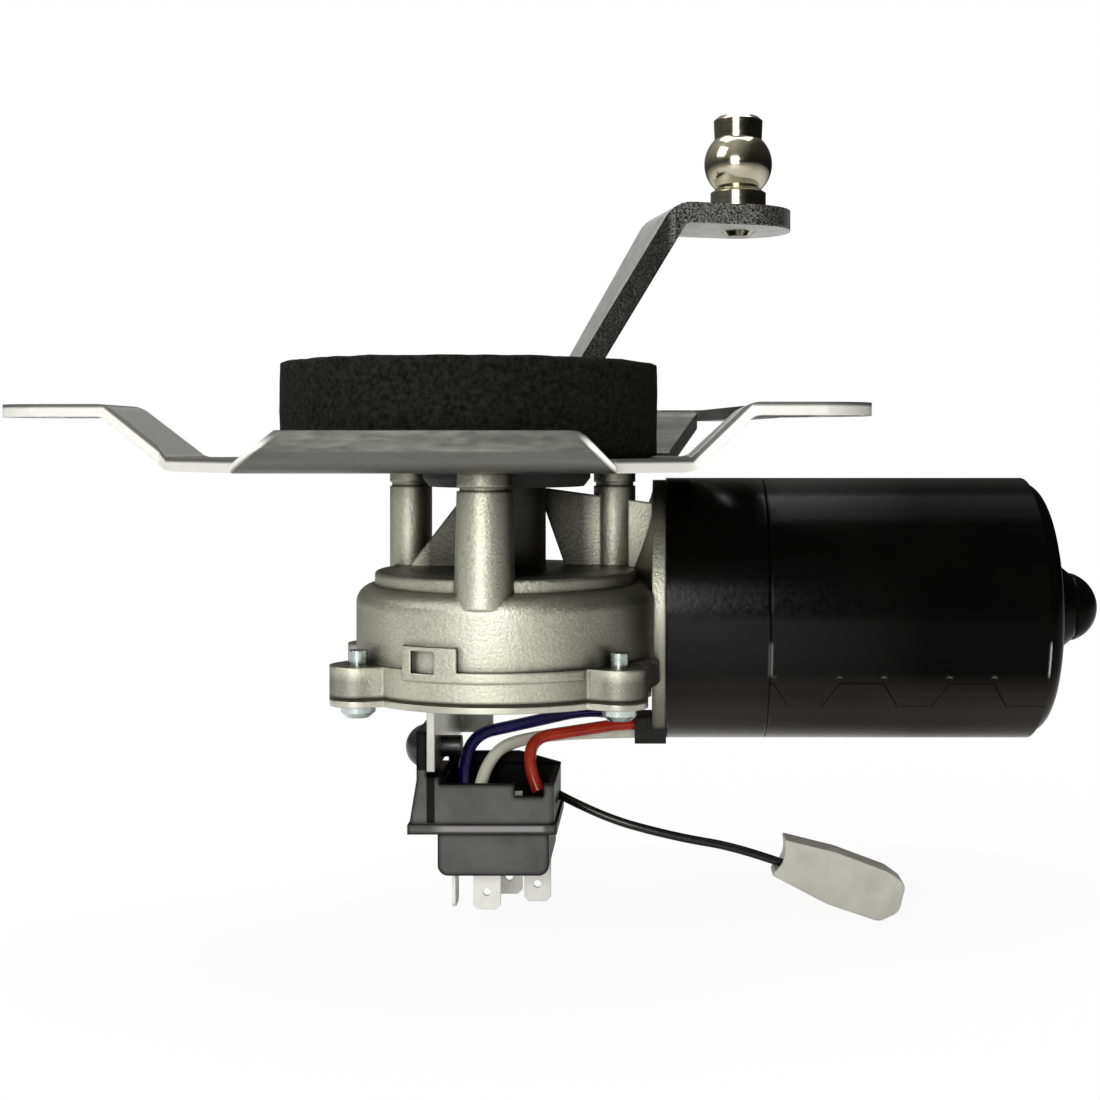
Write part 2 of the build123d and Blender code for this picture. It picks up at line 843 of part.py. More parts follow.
def park_disc():
    """Contact ring under the wheel, with the gap that parks the wiper."""
    disc_r = wheel_tip_r - park_disc_inset
    track_w = disc_r - wheel_hub_r
    disc = pipe(disc_r, wheel_hub_r, wheel_base - park_disc_t, wheel_base)
    gap = block(
        (wheel_hub_r + 0.3 * track_w, -park_gap_w / 2, wheel_base - 2 * park_disc_t),
        (wheel_hub_r + 0.73 * track_w, park_gap_w / 2, wheel_base + 1),
    )
    return disc - gap


def crank_arm():
    rise_x = crank_bend_x - (crank_top_z - crank_hub_top) / tan(radians(crank_slope))
    half_t = crank_t / 2
    side = bent_strip(
        (
            (-crank_hub_r - 2, crank_foot_z + half_t),
            (rise_x + half_t * tan(radians(crank_slope / 2)), crank_foot_z + half_t),
            (crank_bend_x + half_t * tan(radians(crank_slope / 2)), crank_top_z - half_t),
            (crank_reach + crank_end_r + 2, crank_top_z - half_t),
        ),
        crank_t,
        crank_t,
    )
    hub = Circle(crank_hub_r)
    end = Pos(crank_reach, 0) * Circle(crank_end_r)
    plan = hub + end + Polygon(
        (0, -crank_waist_r),
        (crank_bend_x, -crank_end_r),
        (crank_reach, -crank_end_r),
        (crank_reach, crank_end_r),
        (crank_bend_x, crank_end_r),
        (0, crank_waist_r),
        align=None,
    )
    arm = extrude(Plane.XZ * side, 40, both=True) & extrude(plan, 200, both=True)
    seat = turned(
        (0, crank_foot_z - 1),
        (shaft_r, crank_foot_z - 1),
        (shaft_r, crank_foot_z),
        (nut_thread_r, crank_hub_top),
        (nut_thread_r, crank_hub_top + 1),
        (0, crank_hub_top + 1),
    )
    arm -= seat
    arm -= Pos(crank_reach, 0) * rod(stud_shank_r, crank_top_z - crank_t - 1, crank_top_z + 1)
    return crank_frame.location * arm


def ball_stud():
    """Ball pin riveted through the crank's end."""
    floor = crank_top_z - crank_t
    centre = crank_top_z + ball_rise
    rise = sqrt(ball_r ** 2 - ball_neck_r ** 2)
    base = floor - stud_rivet_h
    collar_top = crank_top_z + stud_collar_h
    crown_top = centre + ball_r + ball_crown_h
    outline = [
        Polyline(
            (0, base),
            (stud_shank_r - stud_rivet_h, base),
            (stud_shank_r - 0.2, floor),
            (stud_shank_r, floor),
            (stud_shank_r, crank_top_z),
            (stud_collar_r, crank_top_z),
            (stud_collar_r, collar_top),
            (stud_collar_r - 1.3, collar_top + 0.8),
            (ball_neck_r, centre - rise),
        ),
        RadiusArc((ball_neck_r, centre - rise), (ball_neck_r, centre + rise), -ball_r),
        Polyline(
            (ball_neck_r, centre + rise),
            (ball_neck_r + 0.2, crown_top - 0.9),
            (ball_neck_r - 0.9, crown_top),
            (0, crown_top),
            (0, base),
        ),
    ]
    stud = revolve(Plane.XZ * make_face(outline), Axis.Z)
    return crank_frame.location * Pos(crank_reach, 0) * stud


def crank_nut():
    low = crank_hub_top + nut_washer_t
    return hexagon_head(nut_af, low, nut_h) - rod(nut_thread_r, low - 1, low + nut_h + 1)


def nut_washer():
    return pipe(nut_thread_r + nut_washer_w, nut_thread_r, crank_hub_top, crank_hub_top + nut_washer_t)


# ---- Park switch inside the cover ----

def contact_carrier():
    inside = rod(cover_bead_r - cover_bead_w - free_gap, cover_top, wheel_base)
    low = (carrier_x[0], carrier_y[0], cover_top)
    return inside & block(low, (carrier_x[1], carrier_y[1], cover_top + carrier_t))


def park_contacts():
    """Three spring fingers that reach up to the contact ring."""
    foot = cover_top + carrier_t + finger_t / 2
    peak = wheel_base - park_disc_t - free_gap - finger_t
    line = (
        (carrier_x[0] + 3, foot),
        (carrier_x[1] - 12, foot),
        (carrier_x[1] - 2, peak - finger_t / 2),
        (carrier_x[1] + 1, peak - finger_t * 1.5),
    )
    finger = extrude(Plane.XZ * bent_strip(line, finger_t, 3 * finger_t), finger_w / 2, both=True)
    middle = (carrier_y[0] + carrier_y[1]) / 2 + 0.5
    return [Pos(0, middle + step * finger_pitch) * finger for step in (-1, 0, 1)]


# ---- Worm, armature and motor ----

def worm_shaft():
    """Armature shaft with a single-start right-hand worm, about the motor's own axis."""
    start = -worm_turns / 2 * lead
    flank = tan(radians(20))
    pitch_half = lead / 4 - tooth_slack * gear_module
    tip_half = pitch_half - (worm_tip_r - worm_pitch_r) * flank
    root_half = pitch_half + (worm_pitch_r - worm_root_r) * flank
    sink = 0.4
    path = Pos(0, 0, start) * Helix(lead, worm_turns * lead, worm_pitch_r)
    section = Plane(origin=(0, 0, start), x_dir=(1, 0, 0), z_dir=(0, -1, 0)) * Polygon(
        (worm_root_r - sink, -root_half - sink * flank),
        (worm_tip_r, -tip_half),
        (worm_tip_r, tip_half),
        (worm_root_r - sink, root_half + sink * flank),
        align=None,
    )
    thread = sweep(section, path=path, is_frenet=True)
    tail = can_end_x + shaft_tail
    shaft = turned(
        (0, -worm_tail),
        (worm_end_r - 0.5, -worm_tail),
        (worm_end_r, 0.5 - worm_tail),
        (worm_end_r, start - 1.6),
        (worm_root_r, start - 1.3),
        (worm_root_r, -start + 1.6),
        (armature_shaft_r, -start + 2.6),
        (armature_shaft_r, tail - 0.8),
        (armature_shaft_r - 0.8, tail),
        (0, tail),
    )
    return motor_frame.location * (shaft + thread)


def armature_core():
    """Slotted lamination stack."""
    slot_r = armature_r - tooth_lip - slot_depth / 2
    mouth_r = armature_r - tooth_lip / 2
    slot = Pos(slot_r, 0) * Rectangle(slot_depth, slot_w)
    slot += Pos(mouth_r, 0) * Rectangle(2 * tooth_lip, slot_mouth)
    profile = Circle(armature_r) - Circle(armature_shaft_r)
    for index in range(slot_count):
        profile -= Rot(0, 0, 360 / slot_count * index) * slot
    return motor_frame.location * extrude(Pos(0, 0, core_x[0]) * profile, core_x[1] - core_x[0])


def armature_windings():
    """Coil sides in the slots joined by the end turns."""
    low, high = core_x
    outer_r = armature_r - tooth_lip + winding_gap
    inner_r = 1.8 * armature_shaft_r
    slot_r = armature_r - tooth_lip - slot_depth / 2
    side = Pos(slot_r, 0) * Rectangle(slot_depth - winding_gap, slot_w - 2 * winding_gap)
    bars = [Rot(0, 0, 360 / slot_count * index) * side for index in range(slot_count)]
    coils = extrude(Pos(0, 0, low) * Sketch(children=bars), high - low)
    for foot, top in ((low, low - winding_overhang), (high, high + winding_overhang)):
        coils += turned(
            (inner_r, foot),
            (outer_r, foot),
            (0.97 * outer_r, (foot + top) / 2),
            (0.85 * outer_r, top),
            (inner_r, top),
        )
    return motor_frame.location * coils


def commutator():
    low, high = commutator_x
    body = pipe(commutator_r, armature_shaft_r, low, high)
    slit = block((commutator_r - 0.6, -0.3, low - 1), (commutator_r + 1, 0.3, high - riser_t))
    for index in range(slot_count):
        body -= Rot(0, 0, 360 / slot_count * (index + 0.5)) * slit
    riser = pipe(1.1 * commutator_r, armature_shaft_r, high, high + riser_t)
    return motor_frame.location * (body + riser)


def neck_bearing():
    low, high = neck_bearing_x
    return motor_frame.location * pipe(neck_bearing_r, armature_shaft_r + run_gap, low, high)


def worm_end_bush():
    low = end_bush_inset - worm_tail
    return motor_frame.location * pipe(worm_bore_r, worm_end_r + run_gap, low, low + end_bush_len)


def thrust_pad():
    low = tunnel_end_x + tunnel_end_t
    return motor_frame.location * rod(worm_bore_r, low, -worm_tail - free_gap)


def can_profile(inset):
    """Half outline of the drawn can's closed end, moved inwards by the sheet's thickness."""
    radius = can_body_r - inset
    end = can_end_x - inset
    corner_w, corner_h = can_corner
    corner = (radius, end - corner_h)
    dish = (radius - corner_w, end - can_end_dish)
    foot = (boss_foot_r - 0.6 * inset, end)
    return [
        Line((radius, ring_x[0]), corner),
        ThreePointArc(corner, (radius - 0.31 * corner_w, end - 0.42 * corner_h), dish),
        Line(dish, foot),
        Line(foot, (boss_r - 0.6 * inset, boss_tip_x - 0.4 * inset)),
    ]


def motor_can():
    """Deep-drawn can with a coned bearing boss and two tapped tabs at its mouth."""
    outer = can_profile(0)
    inner = can_profile(can_t)
    mouth = Polyline(
        outer[0] @ 0,
        (can_r, ring_x[0]),
        (can_r, can_start_x),
        (can_bore_r, can_start_x),
        inner[0] @ 0,
    )
    tip = Line(outer[-1] @ 1, inner[-1] @ 1)
    can = revolve(Plane.XZ * make_face([*outer, *inner, mouth, tip]), Axis.Z)
    tab_w, reach, tab_h = can_tab
    tab_top = can_start_x + tab_h
    tab = block((-tab_w / 2, -can_r, can_start_x), (tab_w / 2, reach - can_bore_r, tab_top))
    tab = tab & rod(can_r - can_t / 4, can_start_x, tab_top)
    tab -= Pos(0, -motor_screw_circle_r) * rod(motor_screw_r, can_start_x, tab_top)
    for angle in motor_screw_angles:
        can += Rot(0, 0, angle + 90) * tab
    return motor_frame.location * can


def flux_ring():
    """Wrapped steel band whose ends meet in a row of staked tabs."""
    low, high = ring_x
    pitch = (high - low - seam_inset) / (seam_teeth - 0.5)
    flat, slope = (share * pitch for share in seam_share)
    half = seam_depth / 2
    seam = [(low - 1, half)]
    stakes = []
    for index in range(seam_teeth):
        start = low + seam_inset + index * pitch
        end = start + flat + 2 * slope
        seam += [(start, half), (start + slope, -half), (end - slope, -half), (end, half)]
        stakes += [start, end]
    seam[-1] = (high + 1, -half)
    slit = extrude(seam_plane * trace(Polyline(*seam), seam_gap), 2 * can_r)
    band = motor_frame.location * pipe(can_r, can_body_r, low + seam_gap, high) - slit
    for x in stakes[:-1]:
        band -= seam_plane.location * Pos(x, half + 2 * stake_r, can_r) * Sphere(stake_r)
    return band


def field_magnets():
    low = core_x[0] - magnet_overhang
    high = core_x[1] + magnet_overhang
    full = pipe(can_bore_r, can_bore_r - magnet_t, low, high)
    half_gap = can_bore_r * sin(radians(90 - magnet_half_angle))
    keep = block((-can_r, half_gap, low), (can_r, can_r, high))
    return [motor_frame.location * (full & Rot(0, 0, turn) * keep) for turn in (0, 180)]


def rear_bearing():
    """Self-aligning bush, a ball cut flat at both ends."""
    ball = Pos(0, 0, rear_ball_x) * Sphere(rear_ball_r)
    ball &= rod(2 * rear_ball_r, rear_ball_x - rear_ball_h / 2, rear_ball_x + rear_ball_h / 2)
    bore = rod(armature_shaft_r + run_gap, rear_ball_x - rear_ball_h, rear_ball_x + rear_ball_h)
    return motor_frame.location * (ball - bore)


def bearing_retainer():
    high = can_end_x - can_t - 1.2 * retainer_t
    return motor_frame.location * pipe(rear_ball_r + retainer_w, rear_ball_r, high - retainer_t, high)


def bearing_cap():
    """Domed cap pushed into the boss."""
    edge_top = boss_tip_x + cap_edge_h
    plug_base = rear_ball_x + rear_ball_h / 2
    cap = rod(boss_r, boss_tip_x, edge_top) + dome(boss_r, cap_h - cap_edge_h, edge_top)
    cap += rod(boss_r - 0.6 * can_t, plug_base, boss_tip_x)
    return motor_frame.location * (cap - rod(armature_shaft_r + 1, plug_base, edge_top + can_t))


def motor_screws():
    screw = rod(motor_screw_r, flange_x, can_start_x + motor_screw_grip)
    screw += hexagon_head(1.7 * motor_head_r, flange_x - motor_head_h, motor_head_h)
    return [motor_frame.location * at(motor_screw_circle_r, angle) * screw for angle in motor_screw_angles]


def brush_holder():
    """Ring that carries the brush guides, inside the can's mouth."""
    brush_base = commutator_x[0]
    low = brush_base - brush_wall_t - brush_plate_t
    guide_w = brush_w + 2 * brush_wall_t
    guide_top = brush_base + brush_h + brush_wall_t
    ring = pipe(can_bore_r, commutator_r + 3, low, low + brush_plate_t)
    guide = block(
        (commutator_r + 2.2, -guide_w / 2, low + brush_plate_t / 2),
        (brush_end_r + brush_wall_t, guide_w / 2, guide_top),
    )
    guide -= block(
        (commutator_r, -brush_w / 2, brush_base),
        (brush_end_r, brush_w / 2, brush_base + brush_h),
    )
    for angle in brush_angles:
        ring += Rot(0, 0, angle) * guide
    notch = rod(motor_screw_r + 2 * bolt_gap, low - 1, low + brush_plate_t + 1)
    for angle in motor_screw_angles:
        ring -= at(motor_screw_circle_r, angle) * notch
    return motor_frame.location * ring


def brushes():
    low = commutator_x[0]
    tip = commutator_r + brush_gap
    brush = block((tip, -brush_w / 2, low), (tip + brush_len, brush_w / 2, low + brush_h))
    return [motor_frame.location * Rot(0, 0, angle) * brush for angle in brush_angles]


def brush_springs():
    """Close-wound springs that press the brushes inwards."""
    start = commutator_r + brush_gap + brush_len
    coil = pipe(spring_r, spring_r - spring_wire, 0, brush_end_r - start)
    coil = Pos(start, 0, commutator_x[0] + brush_h / 2) * Rot(0, 90, 0) * coil
    return [motor_frame.location * Rot(0, 0, angle) * coil for angle in brush_angles]


# ---- Bracket, connector and wires ----

def connector_bracket():
    """Angle strip: a tongue riveted under the cover and a long leg for the connector."""
    half = bracket_t / 2
    corner = (bracket_x - half, cover_base - half)
    line = ((bracket_x + bracket_tongue, cover_base - half), corner, (bracket_x - half, bracket_base))
    side = extrude(Plane.XZ * bent_strip(line, bracket_t, half + 0.6), rim_r, both=True)
    front, rear = bracket_y
    leg = side & block((-rim_r, front, bracket_base), (0, rear, cover_base))
    tongue_y = (bracket_rivet_y[0] - bracket_margin, bracket_rivet_y[1] + bracket_margin)
    cut_low = cover_base - bracket_t - 0.1
    leg -= block((bracket_x, front - 1, cut_low), (0, tongue_y[0], cover_base + 1))
    leg -= block((bracket_x, tongue_y[1], cut_low), (0, rear + 1, cover_base + 1))
    flange_w, flange_h = bracket_flange
    flange_low = (bracket_x - 0.1, rear - bracket_t, bracket_base)
    leg += block(flange_low, (bracket_x + flange_w, rear, bracket_base + flange_h))
    hole = rod(bracket_rivet_r, cover_base - 2 * bracket_t, cover_top)
    for y in bracket_rivet_y:
        leg -= Pos(bracket_rivet_x, y) * hole
    return leg - rivet_axis.location * rod(rivet_r, -rim_r, 0)


def bracket_rivets():
    edge, height = bracket_rivet_head
    low = cover_base - bracket_t
    head_r = bracket_rivet_r + edge
    crown_r = head_r - edge / 2
    rivet = rod(bracket_rivet_r, low, cover_top)
    for foot, crown in ((low, low - height), (cover_top, cover_top + height)):
        rivet += turned((0, foot), (head_r, foot), (crown_r, crown), (0, crown))
    return [Pos(bracket_rivet_x, y) * rivet for y in bracket_rivet_y]


def push_rivet():
    """Domed plastic rivet that pins the connector's wing to the bracket."""
    seat = wing_x - wing_t
    rivet = Pos(0, 0, seat) * Rot(180, 0, 0) * dome(rivet_head_r, rivet_head_h, 0)
    rivet += rod(rivet_r, seat, bracket_x + rivet_reach)
    return rivet_axis.location * rivet


def connector_wing(rim_low):
    """Side view of the wing that carries the push rivet, drawn out to the housing's breadth."""
    outer_x = wing_x - wing_t
    rivet_z = rivet_place[1]
    step_z = bracket_base - 2 * rim_edge
    profile = Polygon(
        (wing_x, rivet_z + wing_rise),
        (outer_x, rivet_z + wing_rise),
        (outer_x, rivet_z - rivet_head_r - free_gap),
        (outer_x - wing_lean, rim_low),
        (bracket_x + 1, rim_low),
        (bracket_x + 1, step_z),
        (wing_x, step_z),
        align=None,
    )
    front, rear = wing_y
    return Pos(0, rear) * extrude(Plane.XZ * profile, rear - front)


def connector_housing():
    """Open-topped housing with a mounting wing, a rim and a blade block below."""
    (left, right), (front, rear) = socket_x, socket_y
    rim_low = socket_rim_z - socket_rim_h
    upper = block((left, front, rim_low), (right, rear, socket_top))
    upper = fillet(upper.edges().filter_by(Axis.Z), socket_edge_r)
    upper -= block(
        (left + socket_wall, front + socket_wall, socket_rim_z),
        (right - socket_wall, rear - socket_wall, socket_top + 1),
    )
    notch_far, notch_near, notch_h = socket_notch
    upper -= block(
        (right - notch_far, front - 1, socket_top - notch_h),
        (right - notch_near, front + 1.1 * socket_wall, socket_top + 1),
    )
    rim = block(
        (wing_x - wing_t - wing_lean, front - rim_edge, rim_low),
        (right + rim_edge, rear + rim_edge, socket_rim_z),
    )
    lower = block(
        (left + rim_edge, front + rim_edge, socket_base),
        (right - 2 * rim_edge, rear - 2 * rim_edge, rim_low),
    )
    lower = fillet(lower.edges().filter_by(Axis.Y).group_by(Axis.Z)[0], socket_foot_r)
    body = upper + rim + connector_wing(rim_low) + lower
    body -= rivet_axis.location * rod(rivet_r, -rim_r, 0)
    first_run = Line(*ground_route[:2])
    body -= Plane(origin=first_run @ 0, z_dir=first_run % 0).location * rod(lead_r, 0, first_run.length)
    slot = block((-blade_w / 2, -blade_t / 2, socket_base - 1), (blade_w / 2, blade_t / 2, socket_rim_z + 1))
    for x, y, turn in blade_places:
        body -= Pos(x, y) * Rot(0, 0, turn) * slot
    return body


def connector_terminals():
    """Blade terminals through the housing floor, each with a hole near its tip."""
    half_w = blade_w / 2
    top = socket_rim_z + half_w
    blade = Polygon(
        (-half_w, top),
        (-half_w, blade_tip + 1),
        (-half_w + 1, blade_tip),
        (half_w - 1, blade_tip),
        (half_w, blade_tip + 1),
        (half_w, top),
        align=None,
    )
    blade -= Pos(0, blade_tip + blade_hole_rise) * Circle(blade_hole_r)
    solid = extrude(Plane.XZ * blade, blade_t / 2, both=True)
    return [Pos(x, y) * Rot(0, 0, turn) * solid for x, y, turn in blade_places]


def wire_grommet():
    body = block(grommet_low, grommet_high)
    body = fillet(body.edges().filter_by(Axis.X).group_by(Axis.Z)[0], 2)
    for route in (blue_route, red_route, white_route):
        body -= corded(route, wire_r)
    return body


def ground_connector():
    """Flared one-way connector sleeve with a scooped mouth."""
    outline = make_face(FilletPolyline(
        (0, -4.4),
        (0.46 * tail_len, -6.4),
        (0.88 * tail_len, -6.2),
        (tail_len, -2.6),
        (0.98 * tail_len, 4.0),
        (0.82 * tail_len, 5.4),
        (0.4 * tail_len, 5.6),
        (0, 4.4),
        radius=[0, 6, 3, 3, 2, 5, 6, 0],
        close=True,
    ))
    outline -= Pos(-5.2, 0) * Circle(6.4)
    cavity_y = tail_terminal_w / 2 + 0.2
    cavity_z = tail_t / 2 - tail_wall / 2
    cavity = block((-2, -cavity_y, -cavity_z), (tail_len - 4.5, cavity_y, cavity_z))
    slot = block((tail_len - 10, -cavity_y - 0.2, -blade_t), (tail_len + 1, cavity_y + 0.2, blade_t))
    return tail_frame.location * (extrude(outline, tail_t / 2, both=True) - cavity - slot)


def ground_terminal():
    """Receptacle terminal crimped to the end of the ground lead."""
    start, end = tail_terminal_x
    half_w = tail_terminal_w / 2
    half_h = 1.75 * blade_t
    wall = blade_t
    shell = block((start, -half_w, -half_h), (end, half_w, half_h))
    shell -= block((start + 3, wall - half_w, wall - half_h), (end + 1, half_w - wall, half_h - wall))
    return tail_frame.location * shell


nodes = {
    "mounting_plate": mounting_plate(),
    "foam_seal": foam_seal(),
    "plate_screws": plate_screws(),
    "gear_housing": gear_housing(),
    "cover_gasket": cover_gasket(),
    "gear_cover": gear_cover(),
    "cover_screws": cover_screws(),
    "shaft_seal": shaft_seal(),
    "output_bushes": output_bushes(),
    "output_shaft": output_shaft(),
    "shaft_washers": shaft_washers(),
    "shaft_clip": shaft_clip(),
    "worm_wheel": worm_wheel(),
    "park_disc": park_disc(),
    "crank_arm": crank_arm(),
    "ball_stud": ball_stud(),
    "crank_nut": crank_nut(),
    "nut_washer": nut_washer(),
    "contact_carrier": contact_carrier(),
    "park_contacts": park_contacts(),
    "worm_shaft": worm_shaft(),
    "armature_core": armature_core(),
    "armature_windings": armature_windings(),
    "commutator": commutator(),
    "neck_bearing": neck_bearing(),
    "worm_end_bush": worm_end_bush(),
    "thrust_pad": thrust_pad(),
    "motor_can": motor_can(),
    "flux_ring": flux_ring(),
    "field_magnets": field_magnets(),
    "rear_bearing": rear_bearing(),
    "bearing_retainer": bearing_retainer(),
    "bearing_cap": bearing_cap(),
    "motor_screws": motor_screws(),
    "brush_holder": brush_holder(),
    "brushes": brushes(),
    "brush_springs": brush_springs(),
    "connector_bracket": connector_bracket(),
    "bracket_rivets": bracket_rivets(),
    "push_rivet": push_rivet(),
    "connector_housing": connector_housing(),
    "connector_terminals": connector_terminals(),
    "wire_grommet": wire_grommet(),
    "wire_blue": corded(blue_route, wire_r),
    "wire_red": corded(red_route, wire_r),
    "wire_white": corded(white_route, wire_r),
    "ground_lead": corded(ground_route, lead_r),
    "ground_connector": ground_connector(),
    "ground_terminal": ground_terminal(),
}

os.makedirs("parts", exist_ok=True)
for name, shape in nodes.items():
    if isinstance(shape, list):
        shape = Compound(children=[solid for piece in shape for solid in piece.solids()])
    export_step(shape, f"parts/{name}.step")
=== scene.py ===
import math

import bpy
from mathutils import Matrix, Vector


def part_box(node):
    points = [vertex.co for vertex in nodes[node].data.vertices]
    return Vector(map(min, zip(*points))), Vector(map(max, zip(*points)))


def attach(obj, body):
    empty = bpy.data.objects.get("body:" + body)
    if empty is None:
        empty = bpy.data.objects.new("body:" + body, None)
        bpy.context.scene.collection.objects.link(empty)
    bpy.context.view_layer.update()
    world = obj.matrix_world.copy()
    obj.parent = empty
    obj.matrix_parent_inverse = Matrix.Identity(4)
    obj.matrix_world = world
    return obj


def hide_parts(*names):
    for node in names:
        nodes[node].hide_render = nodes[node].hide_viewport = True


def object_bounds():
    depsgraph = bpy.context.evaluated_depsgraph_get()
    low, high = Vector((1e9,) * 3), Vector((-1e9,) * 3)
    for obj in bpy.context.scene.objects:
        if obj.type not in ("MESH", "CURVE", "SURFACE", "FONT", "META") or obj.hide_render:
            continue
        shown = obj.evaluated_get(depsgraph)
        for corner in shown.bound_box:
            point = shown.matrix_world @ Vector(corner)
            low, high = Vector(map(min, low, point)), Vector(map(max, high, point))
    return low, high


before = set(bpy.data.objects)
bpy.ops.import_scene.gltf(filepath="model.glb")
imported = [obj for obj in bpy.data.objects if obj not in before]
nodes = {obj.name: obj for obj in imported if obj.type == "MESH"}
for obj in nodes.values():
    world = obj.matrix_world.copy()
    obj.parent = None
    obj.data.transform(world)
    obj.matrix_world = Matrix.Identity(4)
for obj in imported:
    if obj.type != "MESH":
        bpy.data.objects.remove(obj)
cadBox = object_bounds()
mm = 0.001
print("frame loaded:", len(nodes), "nodes")

# camera, level and square to the motor; the shift sets the framing
camera = {
    "place": (0.0367, -0.372, -0.0091),
    "tilt": 90,
    "lens": 50.73,
    "sensor": 36.0,
    "shift": (-0.1, -0.0973),
    "clip": (0.01, 20.0),
}
lensData = bpy.data.cameras.new("viewCamera")
lensData.lens = camera["lens"]
lensData.sensor_width = camera["sensor"]
lensData.shift_x, lensData.shift_y = camera["shift"]
lensData.clip_start, lensData.clip_end = camera["clip"]
viewCamera = bpy.data.objects.new("viewCamera", lensData)
viewCamera.location = camera["place"]
viewCamera.rotation_euler = (math.radians(camera["tilt"]), 0, 0)
bpy.context.scene.collection.objects.link(viewCamera)
bpy.context.scene.camera = viewCamera
bpy.context.scene.view_settings.view_transform = "Standard"
print("camera set")


cordLine = {
    "order": 3,
    "stepsPerPoint": 12,
    "roundness": 5,
}


def layCord(name, cord):
    # one smooth line with the route's points as its control points
    curve = bpy.data.curves.new(name, "CURVE")
    curve.dimensions = "3D"
    line = curve.splines.new("NURBS")
    line.points.add(len(cord["route"]) - 1)
    for point, place in zip(line.points, cord["route"]):
        point.co = (place[0] * mm, place[1] * mm, place[2] * mm, 1)
        point.radius = cord["radius"] * mm
    line.order_u = cordLine["order"]
    line.use_endpoint_u = True
    line.resolution_u = cordLine["stepsPerPoint"]
    curve.bevel_depth = 1.0  # metres, times the radius of each point
    curve.bevel_resolution = cordLine["roundness"]
    curve.use_fill_caps = True
    piece = bpy.data.objects.new(name, curve)
    bpy.context.scene.collection.objects.link(piece)
    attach(piece, "gearmotor")
    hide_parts(cord["node"])
    return piece


# routes, radii and lengths in millimetres
groundLead = {
    "node": "ground_lead",
    "radius": 1.0,
    "length": 66.0,
    "route": [
        (7.4, -0.9, -90.4),
        (21.0, -7.0, -96.6),
        (40.0, -8.0, -101.6),
        (56.0, -8.0, -104.2),
        (70.0, -8.0, -109.4),
    ],
}
blueWire = {
    "node": "wire_blue",
    "radius": 1.5,
    "length": 65.0,
    "route": [
        (-9.0, -7.0, -91.6),
        (-11.4, -2.0, -79.4),
        (4.0, 6.0, -77.4),
        (20.0, 15.0, -75.2),
        (30.4, 22.4, -79.6),
        (38.0, 22.6, -79.8),
    ],
}
redWire = {
    "node": "wire_red",
    "radius": 1.5,
    "length": 48.0,
    "route": [
        (8.0, -5.0, -91.6),
        (2.4, -1.0, -80.2),
        (18.0, 7.0, -79.2),
        (30.0, 16.2, -79.0),
        (38.0, 16.4, -79.4),
    ],
}
whiteWire = {
    "node": "wire_white",
    "radius": 1.5,
    "length": 57.0,
    "route": [
        (-5.8, -9.0, -91.6),
        (-4.6, -4.0, -83.0),
        (5.0, 6.0, -80.4),
        (30.0, 18.8, -81.8),
        (38.0, 19.4, -82.0),
    ],
}
leadPiece = layCord("groundLead", groundLead)
bluePiece = layCord("blueWire", blueWire)
redPiece = layCord("redWire", redWire)
whitePiece = layCord("whiteWire", whiteWire)
print("cords laid")


def newFinish(name):
    finish = bpy.data.materials.new(name)
    finish.use_nodes = True
    tree = finish.node_tree
    tree.nodes.new("ShaderNodeTexCoord").name = "where"
    return finish, tree, tree.nodes["Principled BSDF"].inputs


def openFinish(finish):
    # what is needed to add to a finish: its tree, its shader's inputs and the colour so far
    tree = finish.node_tree
    skin = tree.nodes["Principled BSDF"].inputs
    return tree, skin, skin["Base Color"].links[0].from_socket


def feed(tree, value, socket):
    # another node's output is linked; a number or a colour is set on the socket
    if isinstance(value, bpy.types.NodeSocket):
        tree.links.new(value, socket)
    elif socket.type == "RGBA":
        socket.default_value = (*value, 1)
    else:
        socket.default_value = value


def axesOf(tree, kind):
    # X, Y and Z of the place on the object, or of the way its face looks
    split = tree.nodes.new("ShaderNodeSeparateXYZ")
    tree.links.new(tree.nodes["where"].outputs[kind], split.inputs["Vector"])
    return split.outputs


def noiseAt(tree, scale, detail, stretch=(1, 1, 1)):
    # noise whose scale is in spots per metre, drawn out along an axis by stretch
    mapping = tree.nodes.new("ShaderNodeMapping")
    mapping.inputs["Scale"].default_value = stretch
    tree.links.new(tree.nodes["where"].outputs["Object"], mapping.inputs["Vector"])
    noise = tree.nodes.new("ShaderNodeTexNoise")
    noise.inputs["Scale"].default_value = scale
    noise.inputs["Detail"].default_value = detail
    tree.links.new(mapping.outputs["Vector"], noise.inputs["Vector"])
    return noise.outputs["Fac"]


def rampOf(tree, source, spread, colours):
    ramp = tree.nodes.new("ShaderNodeValToRGB")
    for stop, position, colour in zip(ramp.color_ramp.elements, spread, colours):
        stop.position = position
        stop.color = (*colour, 1)
    tree.links.new(source, ramp.inputs["Fac"])
    return ramp.outputs["Color"]


def rangeOf(tree, source, low, high, fromLow=0.3, fromHigh=0.7):
    span = tree.nodes.new("ShaderNodeMapRange")
    span.inputs["From Min"].default_value = fromLow
    span.inputs["From Max"].default_value = fromHigh
    span.inputs["To Min"].default_value = low
    span.inputs["To Max"].default_value = high
    tree.links.new(source, span.inputs["Value"])
    return span.outputs["Result"]


def step(tree, source, low, high):
    # 0 up to low and 1 from high, where low may be the larger of the two
    return rangeOf(tree, source, 0.0, 1.0, low, high)


def combine(tree, operation, one, two=0.0):
    node = tree.nodes.new("ShaderNodeMath")
    node.operation = operation
    feed(tree, one, node.inputs[0])
    feed(tree, two, node.inputs[1])
    return node.outputs["Value"]


def allOf(tree, share, *others):
    # the product of shares: 1 only where each of them is 1
    for other in others:
        share = combine(tree, "MULTIPLY", share, other)
    return share


